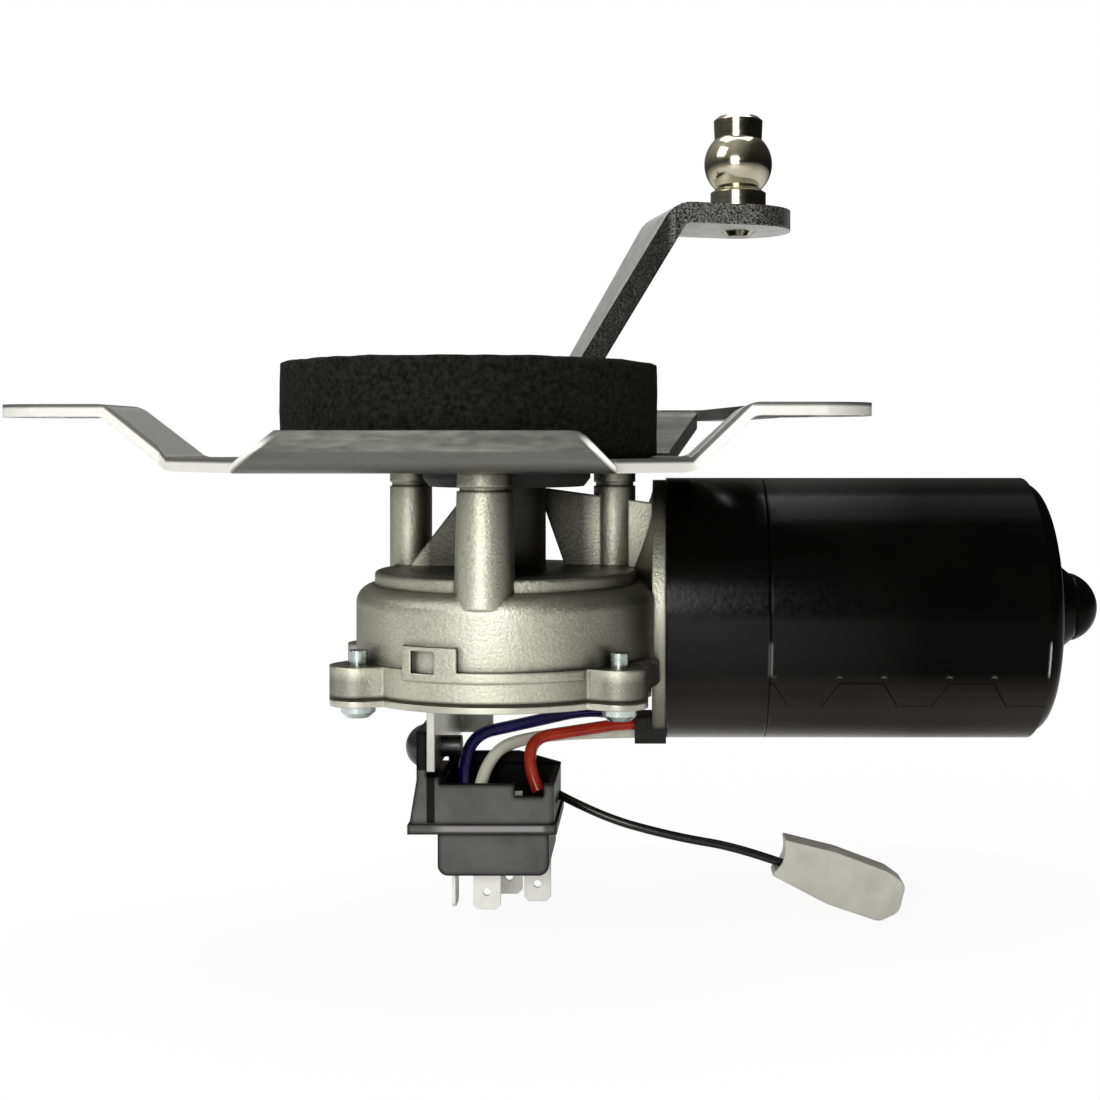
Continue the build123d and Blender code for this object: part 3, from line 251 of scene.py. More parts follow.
def between(tree, source, ends, soft):
    # 1 between the two ends, fading to 0 over a soft border inside each
    rise = step(tree, source, ends[0], ends[0] + soft[0])
    return allOf(tree, rise, step(tree, source, ends[1], ends[1] - soft[1]))


def measure(tree, operation, one, two=None):
    # a number from one or two vectors
    node = tree.nodes.new("ShaderNodeVectorMath")
    node.operation = operation
    feed(tree, one, node.inputs[0])
    if two is not None:
        feed(tree, two, node.inputs[1])
    return node.outputs["Value"]


def blend(tree, one, two, share=1.0, how="MIX"):
    mix = tree.nodes.new("ShaderNodeMix")
    mix.data_type = "RGBA"
    mix.blend_type = how
    feed(tree, share, mix.inputs["Factor"])
    feed(tree, one, mix.inputs["A"])
    feed(tree, two, mix.inputs["B"])
    return mix.outputs["Result"]


def dimmed(tree, colour, least, share):
    # the colour as it is where share is 0, and times least where share is 1
    return blend(tree, colour, (least, least, least), share, "MULTIPLY")


shading = {
    "edgeSamples": 6,
    "cornerSamples": 8,
    "cornerLight": (0.85, 0.25),  # shares of open sky at which a corner gets no painted shade and its full painted shade
    "cloudDetail": 3,
    "bandDetail": 3,
    "bandTones": (0.2, 0.8),
    "bandGrainDetail": 4,
}


def softEdges(tree, radius):
    # rounds the look of a sharp edge over a few tenths of a millimetre
    edge = tree.nodes.new("ShaderNodeBevel")
    edge.samples = shading["edgeSamples"]
    edge.inputs["Radius"].default_value = radius
    return edge.outputs["Normal"]


def edgeAgreement(tree, radius):
    # 1 on a flat face, less where a sharp edge is nearer than the radius
    flat = tree.nodes.new("ShaderNodeNewGeometry")
    return measure(tree, "DOT_PRODUCT", softEdges(tree, radius), flat.outputs["Normal"])


def paintedCornerShade(tree, colour, reach, least):
    # painted shade: darkens a colour where surfaces close in on each other
    near = tree.nodes.new("ShaderNodeAmbientOcclusion")
    near.samples = shading["cornerSamples"]
    near.inputs["Distance"].default_value = reach
    return dimmed(tree, colour, least, step(tree, near.outputs["AO"], *shading["cornerLight"]))


def bumpOn(tree, skin, height, look):
    bump = tree.nodes.new("ShaderNodeBump")
    bump.inputs["Strength"].default_value = look["bumpStrength"]
    bump.inputs["Distance"].default_value = look["bump"]
    tree.links.new(height, bump.inputs["Height"])
    if "edge" in look:
        tree.links.new(softEdges(tree, look["edge"]), bump.inputs["Normal"])
    tree.links.new(bump.outputs["Normal"], skin["Normal"])


# what metals and plastics start from; a look's own values stand in for these
metalKind = {
    "clouds": (0.32, 0.68),
    "grainDetail": 5,
    "metal": 1.0,
    "gloss": 0.5,
    "bumpStrength": 0.6,
    "drawn": (1, 1, 1),
    "stretch": (1, 1, 1),
}
plasticKind = dict(metalKind, clouds=(0.3, 0.7), grainDetail=6, metal=0.0, bumpStrength=0.5)


def plainFinish(name, kind, ownLook):
    # clouds of two tones, with painted shade where surfaces close in if the look asks for it, and a fine
    # grain in its roughness and its bump
    look = dict(kind, **ownLook)
    finish, tree, skin = newFinish(name)
    cloud = noiseAt(tree, look["patch"], shading["cloudDetail"], look["drawn"])
    grain = noiseAt(tree, look["grain"], look["grainDetail"], look["stretch"])
    colour = rampOf(tree, cloud, look["clouds"], (look["dark"], look["light"]))
    if "corners" in look:
        colour = paintedCornerShade(tree, colour, *look["corners"])
    feed(tree, colour, skin["Base Color"])
    feed(tree, rangeOf(tree, grain, *look["rough"]), skin["Roughness"])
    feed(tree, look["metal"], skin["Metallic"])
    feed(tree, look["gloss"], skin["Specular IOR Level"])
    bumpOn(tree, skin, grain, look)
    return finish


def stripedFinish(name, look):
    # stacked sheets or laid turns: fine bands across one axis
    finish, tree, skin = newFinish(name)
    bands = tree.nodes.new("ShaderNodeTexWave")
    bands.bands_direction = look["across"]
    bands.inputs["Scale"].default_value = look["bands"]
    bands.inputs["Distortion"].default_value = look["waver"]
    bands.inputs["Detail"].default_value = shading["bandDetail"]
    tree.links.new(tree.nodes["where"].outputs["Object"], bands.inputs["Vector"])
    colour = rampOf(tree, bands.outputs["Fac"], shading["bandTones"], (look["dark"], look["light"]))
    feed(tree, colour, skin["Base Color"])
    grain = noiseAt(tree, look["grain"], shading["bandGrainDetail"])
    feed(tree, rangeOf(tree, grain, *look["rough"]), skin["Roughness"])
    feed(tree, look["metal"], skin["Metallic"])
    bumpOn(tree, skin, bands.outputs["Fac"], look)
    return finish


def dress(finish, *nodeNames):
    for nodeName in nodeNames:
        node = nodes[nodeName]
        for slot in node.material_slots:
            slot.material = finish
        if not node.material_slots:
            node.data.materials.append(finish)


# places in metres; a pair of places is where a change of tone starts and ends
plateLook = {
    "dark": (0.11, 0.11, 0.10),
    "light": (0.18, 0.18, 0.165),
    "rough": (0.36, 0.52),
    "patch": 160,
    "grain": 900,
    "drawn": (0.12, 1, 1.6),
    "stretch": (0.25, 1, 1),
    "corners": (0.010, 0.35),
    "bump": 0.00004,
    "edge": 0.0004,
    "upright": (0.40, 0.25),  # how far a face may lean and still be a sheared one
    "sheared": (0.80, 0.80, 0.74),
    "shearedMetal": 0.25,
    # painted light on the sheared face along the level stretch at the right
    "shearedPaintedLight": (0.97, 0.97, 0.90),
    "paintedLightFrom": (0.015, 0.025),
    "paintedLightUpTo": (0.0600, 0.0565),
    "top": round(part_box("foam_seal")[0][2], 6),  # the foam lies on the sheet's level part
    "ramps": ((-0.093, -0.077), (0.057, 0.044)),
    "rolled": (0.10, 0.10, 0.09),
    "rolledDepth": (0.0011, 0.00055),
    "lipBack": (-0.0440, -0.0436),
    # painted shade on the lip, and a painted reflection along its foot
    "lipShade": 0.48,
    "lipFootReflection": (0.085, 0.085, 0.079),
    "lipFootReflectionRun": (-0.0105, -0.0132),
    "lipEnds": (((-0.0540, -0.0141), (-0.0440, -0.0064)), ((0.0275, -0.0141), (0.0200, -0.0064))),
    "endBand": (0.0013, 0.0006),
    "endFade": (-0.0098, -0.0074),
    "endBehind": (-0.0380, -0.0400),
    "rampTilt": (0.30, 0.45),
    "leftRamp": (0.30, 0.30, 0.28),
    "rightRamp": (0.62, 0.62, 0.575),
    "rearFrom": (0.030, 0.036),
    "rearShade": 0.45,
}


def lipEnd(tree, foot, head, band):
    # the strip along one slanting end of the lip, where its edge turns over to meet the base
    run = Vector((head[0] - foot[0], 0, head[1] - foot[1])).normalized()
    inward = Vector((run.z, 0, -run.x)) * (1 if foot[0] < head[0] else -1)
    edge = inward.dot(Vector((foot[0], 0, foot[1])))
    across = measure(tree, "DOT_PRODUCT", tree.nodes["where"].outputs["Object"], inward)
    return step(tree, across, edge + band[0], edge + band[1])


def plateFinish(look):
    # rolled faces are dull zinc, the sheared faces round them are bright under a dark rolled-over edge
    finish = plainFinish("zincPlate", metalKind, look)
    tree, skin, base = openFinish(finish)
    place, facing = axesOf(tree, "Object"), axesOf(tree, "Normal")
    behindLip = step(tree, place["Y"], *look["lipBack"])
    onLip = step(tree, place["Y"], *reversed(look["lipBack"]))
    cut = allOf(tree, step(tree, combine(tree, "ABSOLUTE", facing["Z"]), *look["upright"]), behindLip)
    for foot, head in look["lipEnds"]:
        band = lipEnd(tree, foot, head, look["endBand"])
        cut = combine(tree, "MAXIMUM", cut, allOf(tree, band, onLip))
    # height of the sheet's top face along the plate: level, down a ramp, level, up a ramp, level
    down, up = (rangeOf(tree, place["X"], 0.0, look["top"], *ramp) for ramp in look["ramps"])
    depth = combine(tree, "SUBTRACT", combine(tree, "MAXIMUM", up, down), place["Z"])
    rolled = allOf(tree, step(tree, depth, *look["rolledDepth"]), behindLip)
    # painted light: the sheared face is brighter along the level stretch at the right
    paintedLightFrom = step(tree, place["X"], *look["paintedLightFrom"])
    paintedLightUpTo = step(tree, place["X"], *look["paintedLightUpTo"])
    shearedLit = blend(tree, look["sheared"], look["shearedPaintedLight"], allOf(tree, paintedLightFrom, paintedLightUpTo))
    sheared = blend(tree, shearedLit, look["rolled"], rolled)
    # painted shade on the lip, with a painted reflection along its foot
    base = dimmed(tree, base, look["lipShade"], onLip)
    lipFootReflection = allOf(tree, step(tree, place["Z"], *look["lipFootReflectionRun"]), onLip)
    base = blend(tree, base, look["lipFootReflection"], lipFootReflection, "ADD")
    # the two side ramps catch the light, the rear one is in the shade
    least, most = look["rampTilt"]
    pale = cut
    for colour, side in ((look["leftRamp"], 1), (look["rightRamp"], -1)):
        onRamp = allOf(tree, step(tree, facing["X"], side * least, side * most), behindLip)
        pale = combine(tree, "MAXIMUM", pale, onRamp)
        base = blend(tree, base, colour, onRamp)
    onRear = allOf(tree, step(tree, facing["Y"], -least, -most), step(tree, place["Y"], *look["rearFrom"]))
    base = dimmed(tree, base, look["rearShade"], onRear)
    # the lip's ends grey out towards the top
    high = step(tree, place["Z"], *look["endFade"])
    gone = allOf(tree, high, step(tree, place["Y"], *look["endBehind"]), cut)
    cut = combine(tree, "SUBTRACT", cut, gone)
    feed(tree, blend(tree, base, sheared, cut), skin["Base Color"])
    feed(tree, rangeOf(tree, pale, 1.0, look["shearedMetal"], 0.0, 1.0), skin["Metallic"])
    return finish


dress(plateFinish(plateLook), "mounting_plate")

foamLook = {
    "dark": (0.0015, 0.0015, 0.0012),
    "light": (0.0180, 0.0184, 0.0156),
    "rough": (0.85, 1.0),
    "patch": 900,
    "grain": 3000,
    "bump": 0.0005,
    "bumpStrength": 0.8,
    "gloss": 0.12,
}
foamFinish = plainFinish("sealFoam", plasticKind, foamLook)

castLook = {
    "dark": (0.42, 0.414, 0.328),
    "light": (0.68, 0.672, 0.555),
    "tones": (0.34, 0.66),
    "rough": (0.38, 0.54),
    "stain": 55,
    "stainDetail": 4,
    "stainStretch": (1, 1, 0.6),
    "grain": 1500,
    "grainDetail": 6,
    "grainShare": 0.45,
    "pores": 900,
    "poreDepth": 0.3,
    "metal": 0.92,
    "bump": 0.00015,
    "bumpStrength": 0.6,
    "edge": 0.0009,
    "corners": (0.014, 0.18),
    # painted shade on faces that turn away from the eye
    "turned": (0.35, 0.95),
    "away": 0.30,
    "awayLeft": 0.62,
    "leftFacing": (0.0, -0.4),
    "rightFacing": (0.30, 0.90),
    "rightSideShade": 0.35,
    "raised": (-0.0480, -0.0455),  # above the drum: tower, posts and ribs
    # painted shade between the posts, round the tower
    "recessShade": 0.16,
    "recessShadeReach": (0.0250, 0.0205),
    # painted shade on the lugs
    "lugs": 0.52,
    "lugReach": (0.0380, 0.0410),
    "lugTop": (-0.0600, -0.0620),
    # painted shade along the line where the casting meets the gasket
    "seam": 0.10,
    "seamRise": (0.0009, 0.0002),
    "seamEnd": (0.0360, 0.0340),
}


def castFinish(look, seamZ):
    # blasted die casting: fine grain, faint flow stains and small dark pores, with painted shade where
    # surfaces close in, on faces turned away or to the right, between the posts, on the lugs and at the
    # gasket line
    finish, tree, skin = newFinish("castHousing")
    stain = noiseAt(tree, look["stain"], look["stainDetail"], look["stainStretch"])
    grain = noiseAt(tree, look["grain"], look["grainDetail"])
    share = look["grainShare"]
    tone = combine(tree, "ADD", allOf(tree, stain, 1 - share), allOf(tree, grain, share))
    colour = rampOf(tree, tone, look["tones"], (look["dark"], look["light"]))
    colour = paintedCornerShade(tree, colour, *look["corners"])
    place, facing = axesOf(tree, "Object"), axesOf(tree, "Normal")
    raised = step(tree, place["Z"], *look["raised"])
    # painted shade: a face goes dark where it turns away from the eye, least so on the left of the posts
    view = tree.nodes.new("ShaderNodeLayerWeight")
    view.inputs["Blend"].default_value = 0.5
    leftPost = allOf(tree, raised, step(tree, facing["X"], *look["leftFacing"]))
    lost = rangeOf(tree, leftPost, 1 - look["away"], 1 - look["awayLeft"], 0.0, 1.0)
    turned = step(tree, view.outputs["Facing"], *look["turned"])
    colour = dimmed(tree, colour, 0.0, allOf(tree, turned, lost))
    # painted shade on faces that look to the right
    colour = dimmed(tree, colour, look["rightSideShade"], step(tree, facing["X"], *look["rightFacing"]))
    # painted shade between the posts, round the tower
    flat = tree.nodes.new("ShaderNodeCombineXYZ")
    feed(tree, place["X"], flat.inputs["X"])
    feed(tree, place["Y"], flat.inputs["Y"])
    fromShaft = measure(tree, "LENGTH", flat.outputs["Vector"])
    inside = step(tree, fromShaft, *look["recessShadeReach"])
    colour = dimmed(tree, colour, look["recessShade"], allOf(tree, inside, raised))
    # painted shade on the lugs
    onLugs = allOf(tree, step(tree, fromShaft, *look["lugReach"]), step(tree, place["Z"], *look["lugTop"]))
    colour = dimmed(tree, colour, look["lugs"], onLugs)
    # painted shade: a dark line where the casting meets the gasket
    seam = step(tree, place["Z"], *(seamZ + rise for rise in look["seamRise"]))
    colour = dimmed(tree, colour, look["seam"], allOf(tree, seam, step(tree, place["X"], *look["seamEnd"])))
    feed(tree, colour, skin["Base Color"])
    feed(tree, rangeOf(tree, grain, *look["rough"]), skin["Roughness"])
    feed(tree, look["metal"], skin["Metallic"])
    pores = tree.nodes.new("ShaderNodeTexVoronoi")
    pores.inputs["Scale"].default_value = look["pores"]
    tree.links.new(tree.nodes["where"].outputs["Object"], pores.inputs["Vector"])
    pitted = rangeOf(tree, pores.outputs["Distance"], 0.0, 1.0, 0.0, look["poreDepth"])
    bumpOn(tree, skin, allOf(tree, pitted, grain), look)
    return finish


dress(castFinish(castLook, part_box("cover_gasket")[1][2]), "gear_housing")

crankLook = {
    "dark": (0.54, 0.545, 0.51),
    "light": (0.68, 0.685, 0.65),
    "rough": (0.40, 0.55),
    "patch": 200,
    "grain": 1500,
    "bump": 0.00012,
    "edge": 0.0006,
    "speckle": 2300,
    "speckleDetail": 4,
    "slopeCut": ((0.012, 0.012, 0.010), (0.040, 0.041, 0.037)),
    "slopeTones": (0.42, 0.66),
    "headCut": ((0.035, 0.035, 0.030), (0.46, 0.465, 0.42)),
    "headTones": (0.40, 0.62),
    "cutFacing": (0.35, 0.60),
    "bend": (0.0385, 0.0425),
}


def crankFinish(look):
    # light broad faces, cut faces nearly black on the slope and mottled round the head
    finish = plainFinish("crankZinc", metalKind, look)
    tree, skin, base = openFinish(finish)
    speckle = noiseAt(tree, look["speckle"], look["speckleDetail"])
    slope = rampOf(tree, speckle, look["slopeTones"], look["slopeCut"])
    head = rampOf(tree, speckle, look["headTones"], look["headCut"])
    edge = blend(tree, slope, head, step(tree, axesOf(tree, "Object")["X"], *look["bend"]))
    sideways = combine(tree, "ABSOLUTE", axesOf(tree, "Normal")["Y"])
    feed(tree, blend(tree, base, edge, step(tree, sideways, *look["cutFacing"])), skin["Base Color"])
    return finish


dress(crankFinish(crankLook), "crank_arm")

nickelLook = {
    "dark": (0.36, 0.335, 0.235),
    "light": (0.58, 0.545, 0.42),
    "rough": (0.10, 0.20),
    "patch": 120,
    "grain": 1500,
    "stretch": (0.2, 0.2, 1),
    "bump": 0.00001,
    "edge": 0.0004,
}
dress(plainFinish("polishedNickel", metalKind, nickelLook), "ball_stud")

screwLook = {
    "dark": (0.42, 0.48, 0.46),
    "light": (0.66, 0.72, 0.68),
    "rough": (0.18, 0.34),
    "patch": 260,
    "grain": 1800,
    "bump": 0.00003,
    "edge": 0.0003,
}
screwFinish = plainFinish("screwZinc", metalKind, screwLook)
dress(screwFinish, "plate_screws", "cover_screws", "motor_screws", "crank_nut", "nut_washer")

sheetLook = {
    "dark": (0.17, 0.16, 0.11),
    "light": (0.26, 0.25, 0.18),
    "rough": (0.26, 0.40),
    "patch": 70,
    "grain": 1100,
    "stretch": (0.3, 1, 1),
    "bump": 0.00003,
    "edge": 0.0004,
}
sheetFinish = plainFinish("coverSteel", metalKind, sheetLook)
dress(sheetFinish, "bracket_rivets", "shaft_washers", "shaft_clip", "bearing_retainer")
coverLook = dict(sheetLook, dark=(0.46, 0.45, 0.37), light=(0.68, 0.67, 0.57))
dress(plainFinish("coverPale", metalKind, coverLook), "gear_cover")
bracketLook = dict(sheetLook, dark=(0.36, 0.36, 0.32), light=(0.50, 0.50, 0.45), stretch=(1, 1, 0.3))
dress(plainFinish("bracketZinc", metalKind, bracketLook), "connector_bracket")

shaftLook = {
    "dark": (0.34, 0.34, 0.33),
    "light": (0.50, 0.50, 0.48),
    "rough": (0.16, 0.28),
    "patch": 90,
    "grain": 2200,
    "stretch": (1, 1, 0.15),
    "bump": 0.00001,
    "edge": 0.0003,
}
dress(plainFinish("groundShaft", metalKind, shaftLook), "output_shaft")
wormLook = dict(shaftLook, dark=(0.30, 0.30, 0.31), light=(0.46, 0.46, 0.46), stretch=(0.15, 1, 1))
dress(plainFinish("rolledWorm", metalKind, wormLook), "worm_shaft")
springLook = dict(shaftLook, dark=(0.20, 0.20, 0.21), light=(0.36, 0.36, 0.36), grain=1600)
dress(plainFinish("springSteel", metalKind, springLook), "brush_springs")

bronzeLook = {
    "dark": (0.30, 0.19, 0.09),
    "light": (0.48, 0.33, 0.17),
    "rough": (0.35, 0.55),
    "patch": 300,
    "grain": 3000,
    "bump": 0.00006,
    "edge": 0.0003,
}
bronzeFinish = plainFinish("sinteredBronze", metalKind, bronzeLook)
dress(bronzeFinish, "output_bushes", "neck_bearing", "worm_end_bush", "rear_bearing")
brassLook = {
    "dark": (0.55, 0.39, 0.14),
    "light": (0.74, 0.56, 0.26),
    "rough": (0.20, 0.35),
    "patch": 300,
    "grain": 3000,
    "bump": 0.00002,
    "edge": 0.0003,
}
dress(plainFinish("rolledBrass", metalKind, brassLook), "park_disc", "park_contacts", "ground_terminal")
copperLook = dict(brassLook, dark=(0.50, 0.22, 0.12), light=(0.72, 0.36, 0.20), rough=(0.20, 0.38))
dress(plainFinish("commutatorCopper", metalKind, copperLook), "commutator")

bladeLook = {
    "dark": (0.92, 0.92, 0.85),
    "light": (0.98, 0.98, 0.92),
    "rough": (0.40, 0.50),
    "patch": 300,
    "grain": 1500,
    "stretch": (1, 1, 0.3),
    "metal": 0.25,
    "bump": 0.00002,
    "edge": 0.0002,
}
dress(plainFinish("tinnedBlade", metalKind, bladeLook), "connector_terminals")

windingLook = {
    "dark": (0.20, 0.06, 0.025),
    "light": (0.52, 0.20, 0.09),
    "rough": (0.25, 0.4),
    "across": "Z",
    "bands": 420,
    "waver": 1.5,
    "grain": 1500,
    "metal": 0.6,
    "bump": 0.00015,
    "bumpStrength": 0.7,
}
dress(stripedFinish("enamelledWire", windingLook), "armature_windings")
coreLook = {
    "dark": (0.10, 0.10, 0.10),
    "light": (0.30, 0.30, 0.30),
    "rough": (0.35, 0.5),
    "across": "X",
    "bands": 320,
    "waver": 0.2,
    "grain": 1500,
    "metal": 0.9,
    "bump": 0.0001,
    "bumpStrength": 0.7,
}
dress(stripedFinish("stackedSheets", coreLook), "armature_core")

wheelLook = {
    "dark": (0.66, 0.64, 0.56),
    "light": (0.76, 0.74, 0.66),
    "rough": (0.32, 0.46),
    "patch": 90,
    "grain": 1600,
    "bump": 0.00004,
    "edge": 0.0003,
}
dress(plainFinish("wheelNylon", plasticKind, wheelLook), "worm_wheel", "thrust_pad")

canLook = {
    "dark": (0.0014, 0.0015, 0.0015),
    "light": (0.0028, 0.0028, 0.0026),
    "rough": (0.15, 0.25),
    "patch": 40,
    "grain": 900,
    "bump": 0.00006,
    "bumpStrength": 0.35,
    "edge": 0.0008,
    # gloss at two places and the places themselves, along the can and then twice in height
    "glossRun": (0.21, 0.03, 0.050, 0.100),
    "upperRun": (1.0, 0.25, -0.048, -0.036),
    "crestRun": (0.0, 1.6, -0.0225, -0.0185),
    "crestFrom": (0.058, 0.068),
    # painted brown reflection low down on the can
    "low": (0.030, 0.028, 0.025),
    "lowReflectionRun": (-0.0640, -0.0740),
    # painted highlights at each upper corner of the rolled seam
    "glint": (0.90, 0.90, 0.88),
    "glintReach": 0.0011,
    "glintEdge": (0.97, 0.88),
    "glintBelow": (-0.0560, -0.0575),
    "glintAbove": (-0.0655, -0.0640),
    "glintFrom": (0.062, 0.066),
}


def canFinish(look):
    # glossiest by the housing and along the crest, dull towards the far end, with a painted brown
    # reflection low down
    finish = plainFinish("blackPaint", plasticKind, look)
    tree, skin, paint = openFinish(finish)
    place = axesOf(tree, "Object")
    upper = rangeOf(tree, place["Z"], *look["upperRun"])
    crest = rangeOf(tree, place["Z"], *look["crestRun"])
    crest = allOf(tree, crest, step(tree, place["X"], *look["crestFrom"]))
    sheen = combine(tree, "MAXIMUM", upper, crest)
    feed(tree, allOf(tree, sheen, rangeOf(tree, place["X"], *look["glossRun"])), skin["Specular IOR Level"])
    # painted reflection: browner low down
    paint = blend(tree, paint, look["low"], step(tree, place["Z"], *look["lowReflectionRun"]), "ADD")
    # painted highlights at each upper corner of the rolled seam
    seamGlint = allOf(
        tree,
        step(tree, edgeAgreement(tree, look["glintReach"]), *look["glintEdge"]),
        step(tree, place["Z"], *look["glintBelow"]),
        step(tree, place["Z"], *look["glintAbove"]),
        step(tree, place["X"], *look["glintFrom"]),
    )
    feed(tree, blend(tree, paint, look["glint"], seamGlint), skin["Base Color"])
    return finish


dress(canFinish(canLook), "motor_can", "flux_ring")
capLook = dict(canLook, rough=(0.22, 0.32), grain=500, gloss=0.04, edge=0.0005)
dress(plainFinish("capBlack", plasticKind, capLook), "bearing_cap")

magnetLook = {
    "dark": (0.025, 0.026, 0.028),
    "light": (0.06, 0.06, 0.062),
    "rough": (0.55, 0.75),
    "patch": 40,
    "grain": 2400,
    "bump": 0.00006,
    "bumpStrength": 0.35,
    "edge": 0.0008,
}
dress(plainFinish("ferrite", plasticKind, magnetLook), "field_magnets")
carbonLook = dict(magnetLook, dark=(0.02, 0.02, 0.02), light=(0.05, 0.048, 0.045), rough=(0.4, 0.6))
dress(plainFinish("brushCarbon", plasticKind, carbonLook), "brushes")

socketLook = {
    "dark": (0.030, 0.030, 0.029),
    "light": (0.085, 0.085, 0.081),
    "rough": (0.34, 0.50),
    "patch": 110,
    "grain": 2000,
    "bump": 0.00006,
    "gloss": 0.6,
    "edge": 0.0006,
    "corners": (0.020, 0.05),
    "leastGloss": 0.02,
    # painted shade behind the front face and along the edges
    "behind": 0.10,
    "behindFrom": (0.0010, 0.0050),  # from the front face backwards
    "edgeReach": 0.0018,
    "edgeShade": 0.10,
    "edgeRange": (0.88, 0.995),
    # painted shade: near-dark patches over the bracket pocket and beside it
    "pocketShade": (
        ((-0.0162, -0.0140), (-0.0951, -0.0700), 0.10),
        ((-0.0300, -0.0158), (-0.0832, -0.0600), 0.12),
    ),
    # painted shade on the notch floor
    "notchFloorShade": 0.08,
    "floorAbove": (-0.0900, -0.0890),
    "floorFacing": (0.6, 0.8),
    "rimX": (-0.0150, 0.0110),
    "rimZ": (-0.0969, -0.0954),
    "rimFacing": (-0.6, -0.9),
    "rimColour": (0.26, 0.26, 0.25),
    "soft": 0.0003,
    "softTop": 0.0008,
    "softEnds": (0.003, 0.001),
}


def socketSkin(look, front):
    # its front is grey; painted shade darkens the mouth, the sides, the bracket pocket, the notch floor,
    # the edges and the corners
    finish = plainFinish("socketBlack", plasticKind, look)
    tree, skin, colour = openFinish(finish)
    place, facing = axesOf(tree, "Object"), axesOf(tree, "Normal")
    soft = look["soft"]
    # painted shade behind the front face and along the edges
    behind = (front + back for back in look["behindFrom"])
    tones = [
        rangeOf(tree, place["Y"], 1.0, look["behind"], *behind),
        rangeOf(tree, edgeAgreement(tree, look["edgeReach"]), look["edgeShade"], 1.0, *look["edgeRange"]),
    ]
    # painted shade: near-dark patches over the bracket pocket and beside it
    for xEnds, zEnds, tone in look["pocketShade"]:
        inX = between(tree, place["X"], xEnds, (soft, soft))
        inZ = between(tree, place["Z"], zEnds, (soft, look["softTop"]))
        tones.append(rangeOf(tree, allOf(tree, inX, inZ), 1.0, tone, 0.0, 1.0))
    # painted shade on the notch floor
    upward = step(tree, facing["Z"], *look["floorFacing"])
    onFloor = allOf(tree, upward, step(tree, place["Z"], *look["floorAbove"]))
    tones.append(rangeOf(tree, onFloor, 1.0, look["notchFloorShade"], 0.0, 1.0))
    tone = allOf(tree, *tones)
    colour = blend(tree, colour, tone, how="MULTIPLY")
    # the rim catches the light along its front
    rim = allOf(
        tree,
        between(tree, place["Z"], look["rimZ"], (soft, soft)),
        between(tree, place["X"], look["rimX"], look["softEnds"]),
        step(tree, facing["Y"], *look["rimFacing"]),
    )
    feed(tree, blend(tree, colour, look["rimColour"], rim), skin["Base Color"])
    feed(tree, rangeOf(tree, tone, look["leastGloss"], look["gloss"], 0.0, 1.0), skin["Specular IOR Level"])
    return finish


socketFinish = socketSkin(socketLook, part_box("connector_housing")[0][1])
dress(socketFinish, "connector_housing")
rivetLook = dict(socketLook, dark=(0.012, 0.012, 0.012), light=(0.022, 0.022, 0.022), rough=(0.25, 0.4))
dress(plainFinish("rivetBlack", plasticKind, rivetLook), "push_rivet")
boardLook = dict(socketLook, dark=(0.16, 0.09, 0.045), light=(0.24, 0.15, 0.08), rough=(0.4, 0.55))
dress(plainFinish("pressedBoard", plasticKind, boardLook), "brush_holder", "contact_carrier")

rubberLook = {
    "dark": (0.010, 0.010, 0.010),
    "light": (0.022, 0.022, 0.021),
    "rough": (0.55, 0.75),
    "patch": 200,
    "grain": 2500,
    "bump": 0.00005,
    "gloss": 0.35,
    "edge": 0.0005,
}
dress(plainFinish("softRubber", plasticKind, rubberLook), "shaft_seal", "wire_grommet")
gasketLook = {
    "dark": (0.016, 0.014, 0.004),
    "light": (0.040, 0.036, 0.012),
    "rough": (0.60, 0.80),
    "patch": 200,
    "grain": 2500,
    "bump": 0.00005,
    "gloss": 0.35,
    "edge": 0.0002,
}
dress(plainFinish("gasketPaper", plasticKind, gasketLook), "cover_gasket")

sleeveLook = {
    "dark": (0.70, 0.69, 0.60),
    "light": (0.84, 0.83, 0.74),
    "rough": (0.28, 0.42),
    "patch": 240,
    "grain": 1200,
    "bump": 0.00008,
    "edge": 0.0006,
    "letsThrough": 0.35,
    "milky": 0.3,
    "milkyReach": (0.004, 0.004, 0.003),
}


def sleeveFinish(look):
    finish = plainFinish("milkySleeve", plasticKind, look)
    skin = openFinish(finish)[1]
    skin["Transmission Weight"].default_value = look["letsThrough"]
    skin["Subsurface Weight"].default_value = look["milky"]
    skin["Subsurface Radius"].default_value = look["milkyReach"]
    return finish


dress(sleeveFinish(sleeveLook), "ground_connector")

wireLook = {
    "rough": (0.14, 0.24),
    "patch": 200,
    "grain": 1400,
    "bump": 0.00003,
}
wireColours = {
    "blueWireSkin": ((0.002, 0.001, 0.055), (0.005, 0.003, 0.11), bluePiece),
    "redWireSkin": ((0.36, 0.014, 0.005), (0.56, 0.040, 0.012), redPiece),
    "whiteWireSkin": ((0.76, 0.75, 0.63), (0.90, 0.89, 0.76), whitePiece),
    "groundLeadSkin": ((0.004, 0.004, 0.004), (0.010, 0.010, 0.010), leadPiece),
}
for skinName, (dark, light, piece) in wireColours.items():
    wireFinish = plainFinish(skinName, plasticKind, dict(wireLook, dark=dark, light=light))
    piece.data.materials.append(wireFinish)
print("finishes given")


def deselectAll():
    if bpy.context.object and bpy.context.object.mode != "OBJECT":
        bpy.ops.object.mode_set(mode="OBJECT")
    bpy.ops.object.select_all(action="DESELECT")


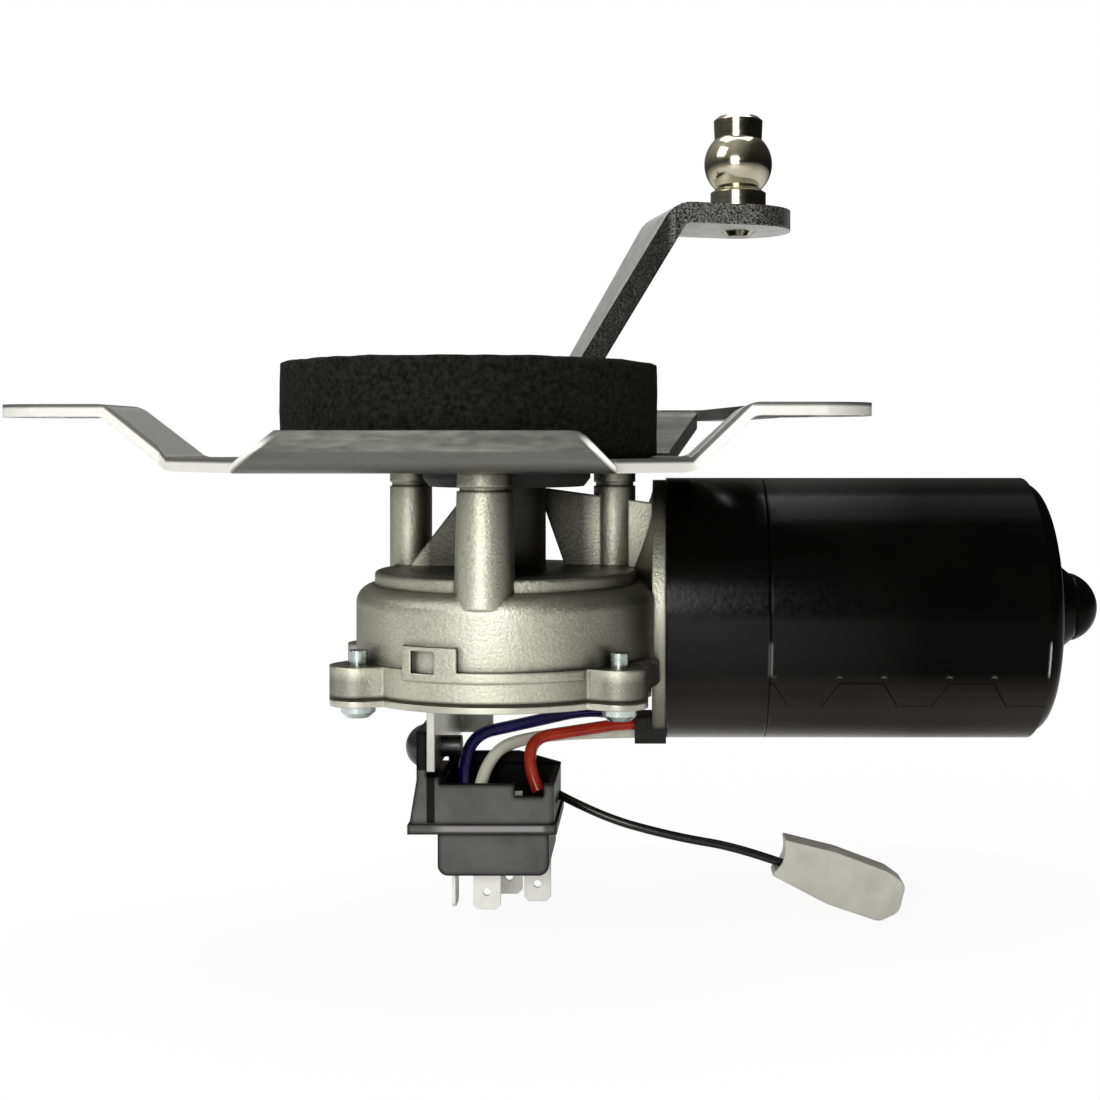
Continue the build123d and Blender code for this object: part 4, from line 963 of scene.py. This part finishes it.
def addPuck(name, radius, low, high, place, sides):
    deselectAll()
    middle = (place[0], place[1], (low + high) / 2)
    bpy.ops.mesh.primitive_cylinder_add(vertices=sides, radius=radius, depth=high - low, location=middle)
    piece = bpy.context.object
    piece.name = name
    bpy.ops.object.transform_apply(location=True, rotation=True, scale=True)
    return piece


def applyAll(piece):
    deselectAll()
    piece.select_set(True)
    bpy.context.view_layer.objects.active = piece
    for modifier in list(piece.modifiers):
        bpy.ops.object.modifier_apply(modifier=modifier.name)


def cutAway(piece, tool):
    cut = piece.modifiers.new("cut", "BOOLEAN")
    cut.operation = "DIFFERENCE"
    cut.object = tool
    applyAll(piece)
    bpy.data.objects.remove(tool)


backWall = {
    "x": (-0.0142, 0.0128),
    "y": (0.0014, 0.0030),
    "z": (-0.0864, -0.0834),
    "slopeFrom": (0.0028, -0.0834),
    "slopeTo": (0.0128, -0.0862),
    "cutTolerance": 1e-6,
}


def makeBackWall(wall):
    # a strip on the socket's rear wall, cut down along a slope at its right
    deselectAll()
    middle = [sum(wall[axis]) / 2 for axis in "xyz"]
    bpy.ops.mesh.primitive_cube_add(size=1, location=middle)
    piece = bpy.context.object
    piece.name = "connectorBackWall"
    piece.scale = [wall[axis][1] - wall[axis][0] for axis in "xyz"]
    bpy.ops.object.transform_apply(location=True, rotation=True, scale=True)
    (x, z), (farX, farZ) = wall["slopeFrom"], wall["slopeTo"]
    bpy.ops.object.mode_set(mode="EDIT")
    bpy.ops.mesh.select_all(action="SELECT")
    upward = Vector((z - farZ, 0, farX - x)).normalized()
    bpy.ops.mesh.bisect(
        plane_co=(x, 0, z),
        plane_no=upward,
        use_fill=True,
        clear_outer=True,
        threshold=wall["cutTolerance"],
    )
    bpy.ops.object.mode_set(mode="OBJECT")
    piece.data.materials.append(socketFinish)
    return piece


backPiece = makeBackWall(backWall)
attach(backPiece, "gearmotor")
print("back wall made")

# the foam keeps the size and the place of the plain ring that it stands for
foamLow, foamHigh = ([round(c, 6) for c in corner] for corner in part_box("foam_seal"))
foamSeal = {
    "radius": foamHigh[1],
    "centreX": (foamLow[0] + foamHigh[0]) / 2,
    "base": foamLow[2],
    "top": foamHigh[2],
    "holeRadius": 0.0290,
    "sides": 160,
    "spare": 0.01,  # by which the hole and the pockets are cut past the foam
    "pocketRadius": 0.0060,
    "pocketDepth": 0.0050,
    "pocketSides": 40,
    "postCircle": 0.0293,
    "postAngles": (-94, 30, 150),
    "edgeWidth": 0.0018,
    "edgeSteps": 4,
    "edgeAngle": 60,
    "voxel": 0.0012,
    "relax": 0.5,
    "relaxRounds": 3,
    "lumpHeight": 0.0005,
    "lumpSize": 0.006,
    "lumpDetail": 2,
    "lumpLevel": 0.6,
}


def makeFoam(foam):
    base, top = foam["base"], foam["top"]
    under = base - foam["spare"]
    ring = addPuck("foamSeal", foam["radius"], base, top, (foam["centreX"], 0), foam["sides"])
    cutAway(ring, addPuck("hole", foam["holeRadius"], under, top + foam["spare"], (0, 0), foam["sides"]))
    for angle in foam["postAngles"]:
        turn = math.radians(angle)
        place = [foam["postCircle"] * part for part in (math.cos(turn), math.sin(turn))]
        ceiling = base + foam["pocketDepth"]
        cutAway(ring, addPuck("pocket", foam["pocketRadius"], under, ceiling, place, foam["pocketSides"]))
    edge = ring.modifiers.new("edge", "BEVEL")
    edge.width = foam["edgeWidth"]
    edge.segments = foam["edgeSteps"]
    edge.limit_method = "ANGLE"
    edge.angle_limit = math.radians(foam["edgeAngle"])
    even = ring.modifiers.new("even", "REMESH")
    even.mode = "VOXEL"
    even.voxel_size = foam["voxel"]
    relax = ring.modifiers.new("relax", "SMOOTH")
    relax.factor = foam["relax"]
    relax.iterations = foam["relaxRounds"]
    lumps = bpy.data.textures.new("foamLumps", "CLOUDS")
    lumps.noise_scale = foam["lumpSize"]
    lumps.noise_depth = foam["lumpDetail"]
    swell = ring.modifiers.new("swell", "DISPLACE")
    swell.texture = lumps
    swell.texture_coords = "LOCAL"
    swell.strength = foam["lumpHeight"]
    swell.mid_level = foam["lumpLevel"]
    applyAll(ring)
    for face in ring.data.polygons:
        face.use_smooth = True
    ring.data.materials.clear()
    ring.data.materials.append(foamFinish)
    return ring


foamPiece = makeFoam(foamSeal)
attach(foamPiece, "gearmotor")
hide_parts("foam_seal")
print("foam seal made:", len(foamPiece.data.polygons), "faces")

floor = {
    "gap": 0.0012,
    "size": 8.0,
    "colour": (0.90, 0.90, 0.90),
    "mottle": 0.015,
    "patch": 3,
    "patchDetail": 2,
    "patchTones": (0.3, 0.7),
    "rough": 0.9,
    "fade": (0.92, 1.0, 0.10, 0.34),  # share of plain white that the eye sees, near and far
}


def makeFloor(setup):
    deselectAll()
    lowest = min(corner[2] for corner in cadBox) - setup["gap"]
    bpy.ops.mesh.primitive_plane_add(size=setup["size"], location=(0, 0, lowest))
    sheet = bpy.context.object
    sheet.name = "floor"
    bpy.ops.object.transform_apply(location=True, rotation=True, scale=True)
    finish, tree, skin = newFinish("palePaper")
    darker = [c - setup["mottle"] for c in setup["colour"]]
    cloud = noiseAt(tree, setup["patch"], setup["patchDetail"])
    feed(tree, rampOf(tree, cloud, setup["patchTones"], (darker, setup["colour"])), skin["Base Color"])
    feed(tree, setup["rough"], skin["Roughness"])
    away = measure(tree, "LENGTH", tree.nodes["where"].outputs["Object"])
    sight = tree.nodes.new("ShaderNodeLightPath")
    plain = allOf(tree, rangeOf(tree, away, *setup["fade"]), sight.outputs["Is Camera Ray"])
    white = tree.nodes.new("ShaderNodeEmission")
    seen = tree.nodes.new("ShaderNodeMixShader")
    tree.links.new(plain, seen.inputs["Fac"])
    tree.links.new(tree.nodes["Principled BSDF"].outputs["BSDF"], seen.inputs[1])
    tree.links.new(white.outputs["Emission"], seen.inputs[2])
    tree.links.new(seen.outputs["Shader"], tree.nodes["Material Output"].inputs["Surface"])
    sheet.data.materials.append(finish)
    return sheet


makeFloor(floor)

room = {
    "light": (1, 0.99, 0.97),
    "height": (0.08, 0.55, 0.1, 0.9),  # light low down and overhead
    "side": (1.0, 0.12, -0.3, 0.6),  # share of it at the left and at the right
}


def lightRoom(setup):
    world = bpy.data.worlds.new("studioWorld")
    bpy.context.scene.world = world
    world.use_nodes = True
    tree = world.node_tree
    tree.nodes.clear()
    tree.nodes.new("ShaderNodeTexCoord").name = "where"
    toward = axesOf(tree, "Generated")
    lit = tree.nodes.new("ShaderNodeBackground")
    feed(tree, setup["light"], lit.inputs["Color"])
    height = rangeOf(tree, toward["Z"], *setup["height"])
    feed(tree, allOf(tree, height, rangeOf(tree, toward["X"], *setup["side"])), lit.inputs["Strength"])
    seen = tree.nodes.new("ShaderNodeBackground")
    feed(tree, (1, 1, 1), seen.inputs["Color"])
    sight = tree.nodes.new("ShaderNodeLightPath")
    mix = tree.nodes.new("ShaderNodeMixShader")
    tree.links.new(sight.outputs["Is Camera Ray"], mix.inputs["Fac"])
    tree.links.new(lit.outputs["Background"], mix.inputs[1])
    tree.links.new(seen.outputs["Background"], mix.inputs[2])
    out = tree.nodes.new("ShaderNodeOutputWorld")
    tree.links.new(mix.outputs["Shader"], out.inputs["Surface"])


lightRoom(room)

lampTarget = (0.02, 0, -0.03)
lamps = {
    "frontLamp": {"place": (-0.14, -0.80, 0.14), "size": (0.36, 0.36), "power": 3.3},
    "keyLamp": {"place": (-0.55, -0.25, 0.50), "size": (0.40, 0.40), "power": 2.2},
    "topLamp": {"place": (0.02, 0.25, 0.90), "size": (0.90, 0.60), "power": 8.0},
}


def addLamp(name, setup):
    lamp = bpy.data.lights.new(name, "AREA")
    lamp.shape = "RECTANGLE"
    lamp.size, lamp.size_y = setup["size"]
    lamp.energy = setup["power"]
    holder = bpy.data.objects.new(name, lamp)
    holder.location = setup["place"]
    toward = Vector(lampTarget) - Vector(setup["place"])
    holder.rotation_euler = toward.to_track_quat("-Z", "Y").to_euler()
    bpy.context.scene.collection.objects.link(holder)


for lampName, lampSetup in lamps.items():
    addLamp(lampName, lampSetup)
print("studio lit")
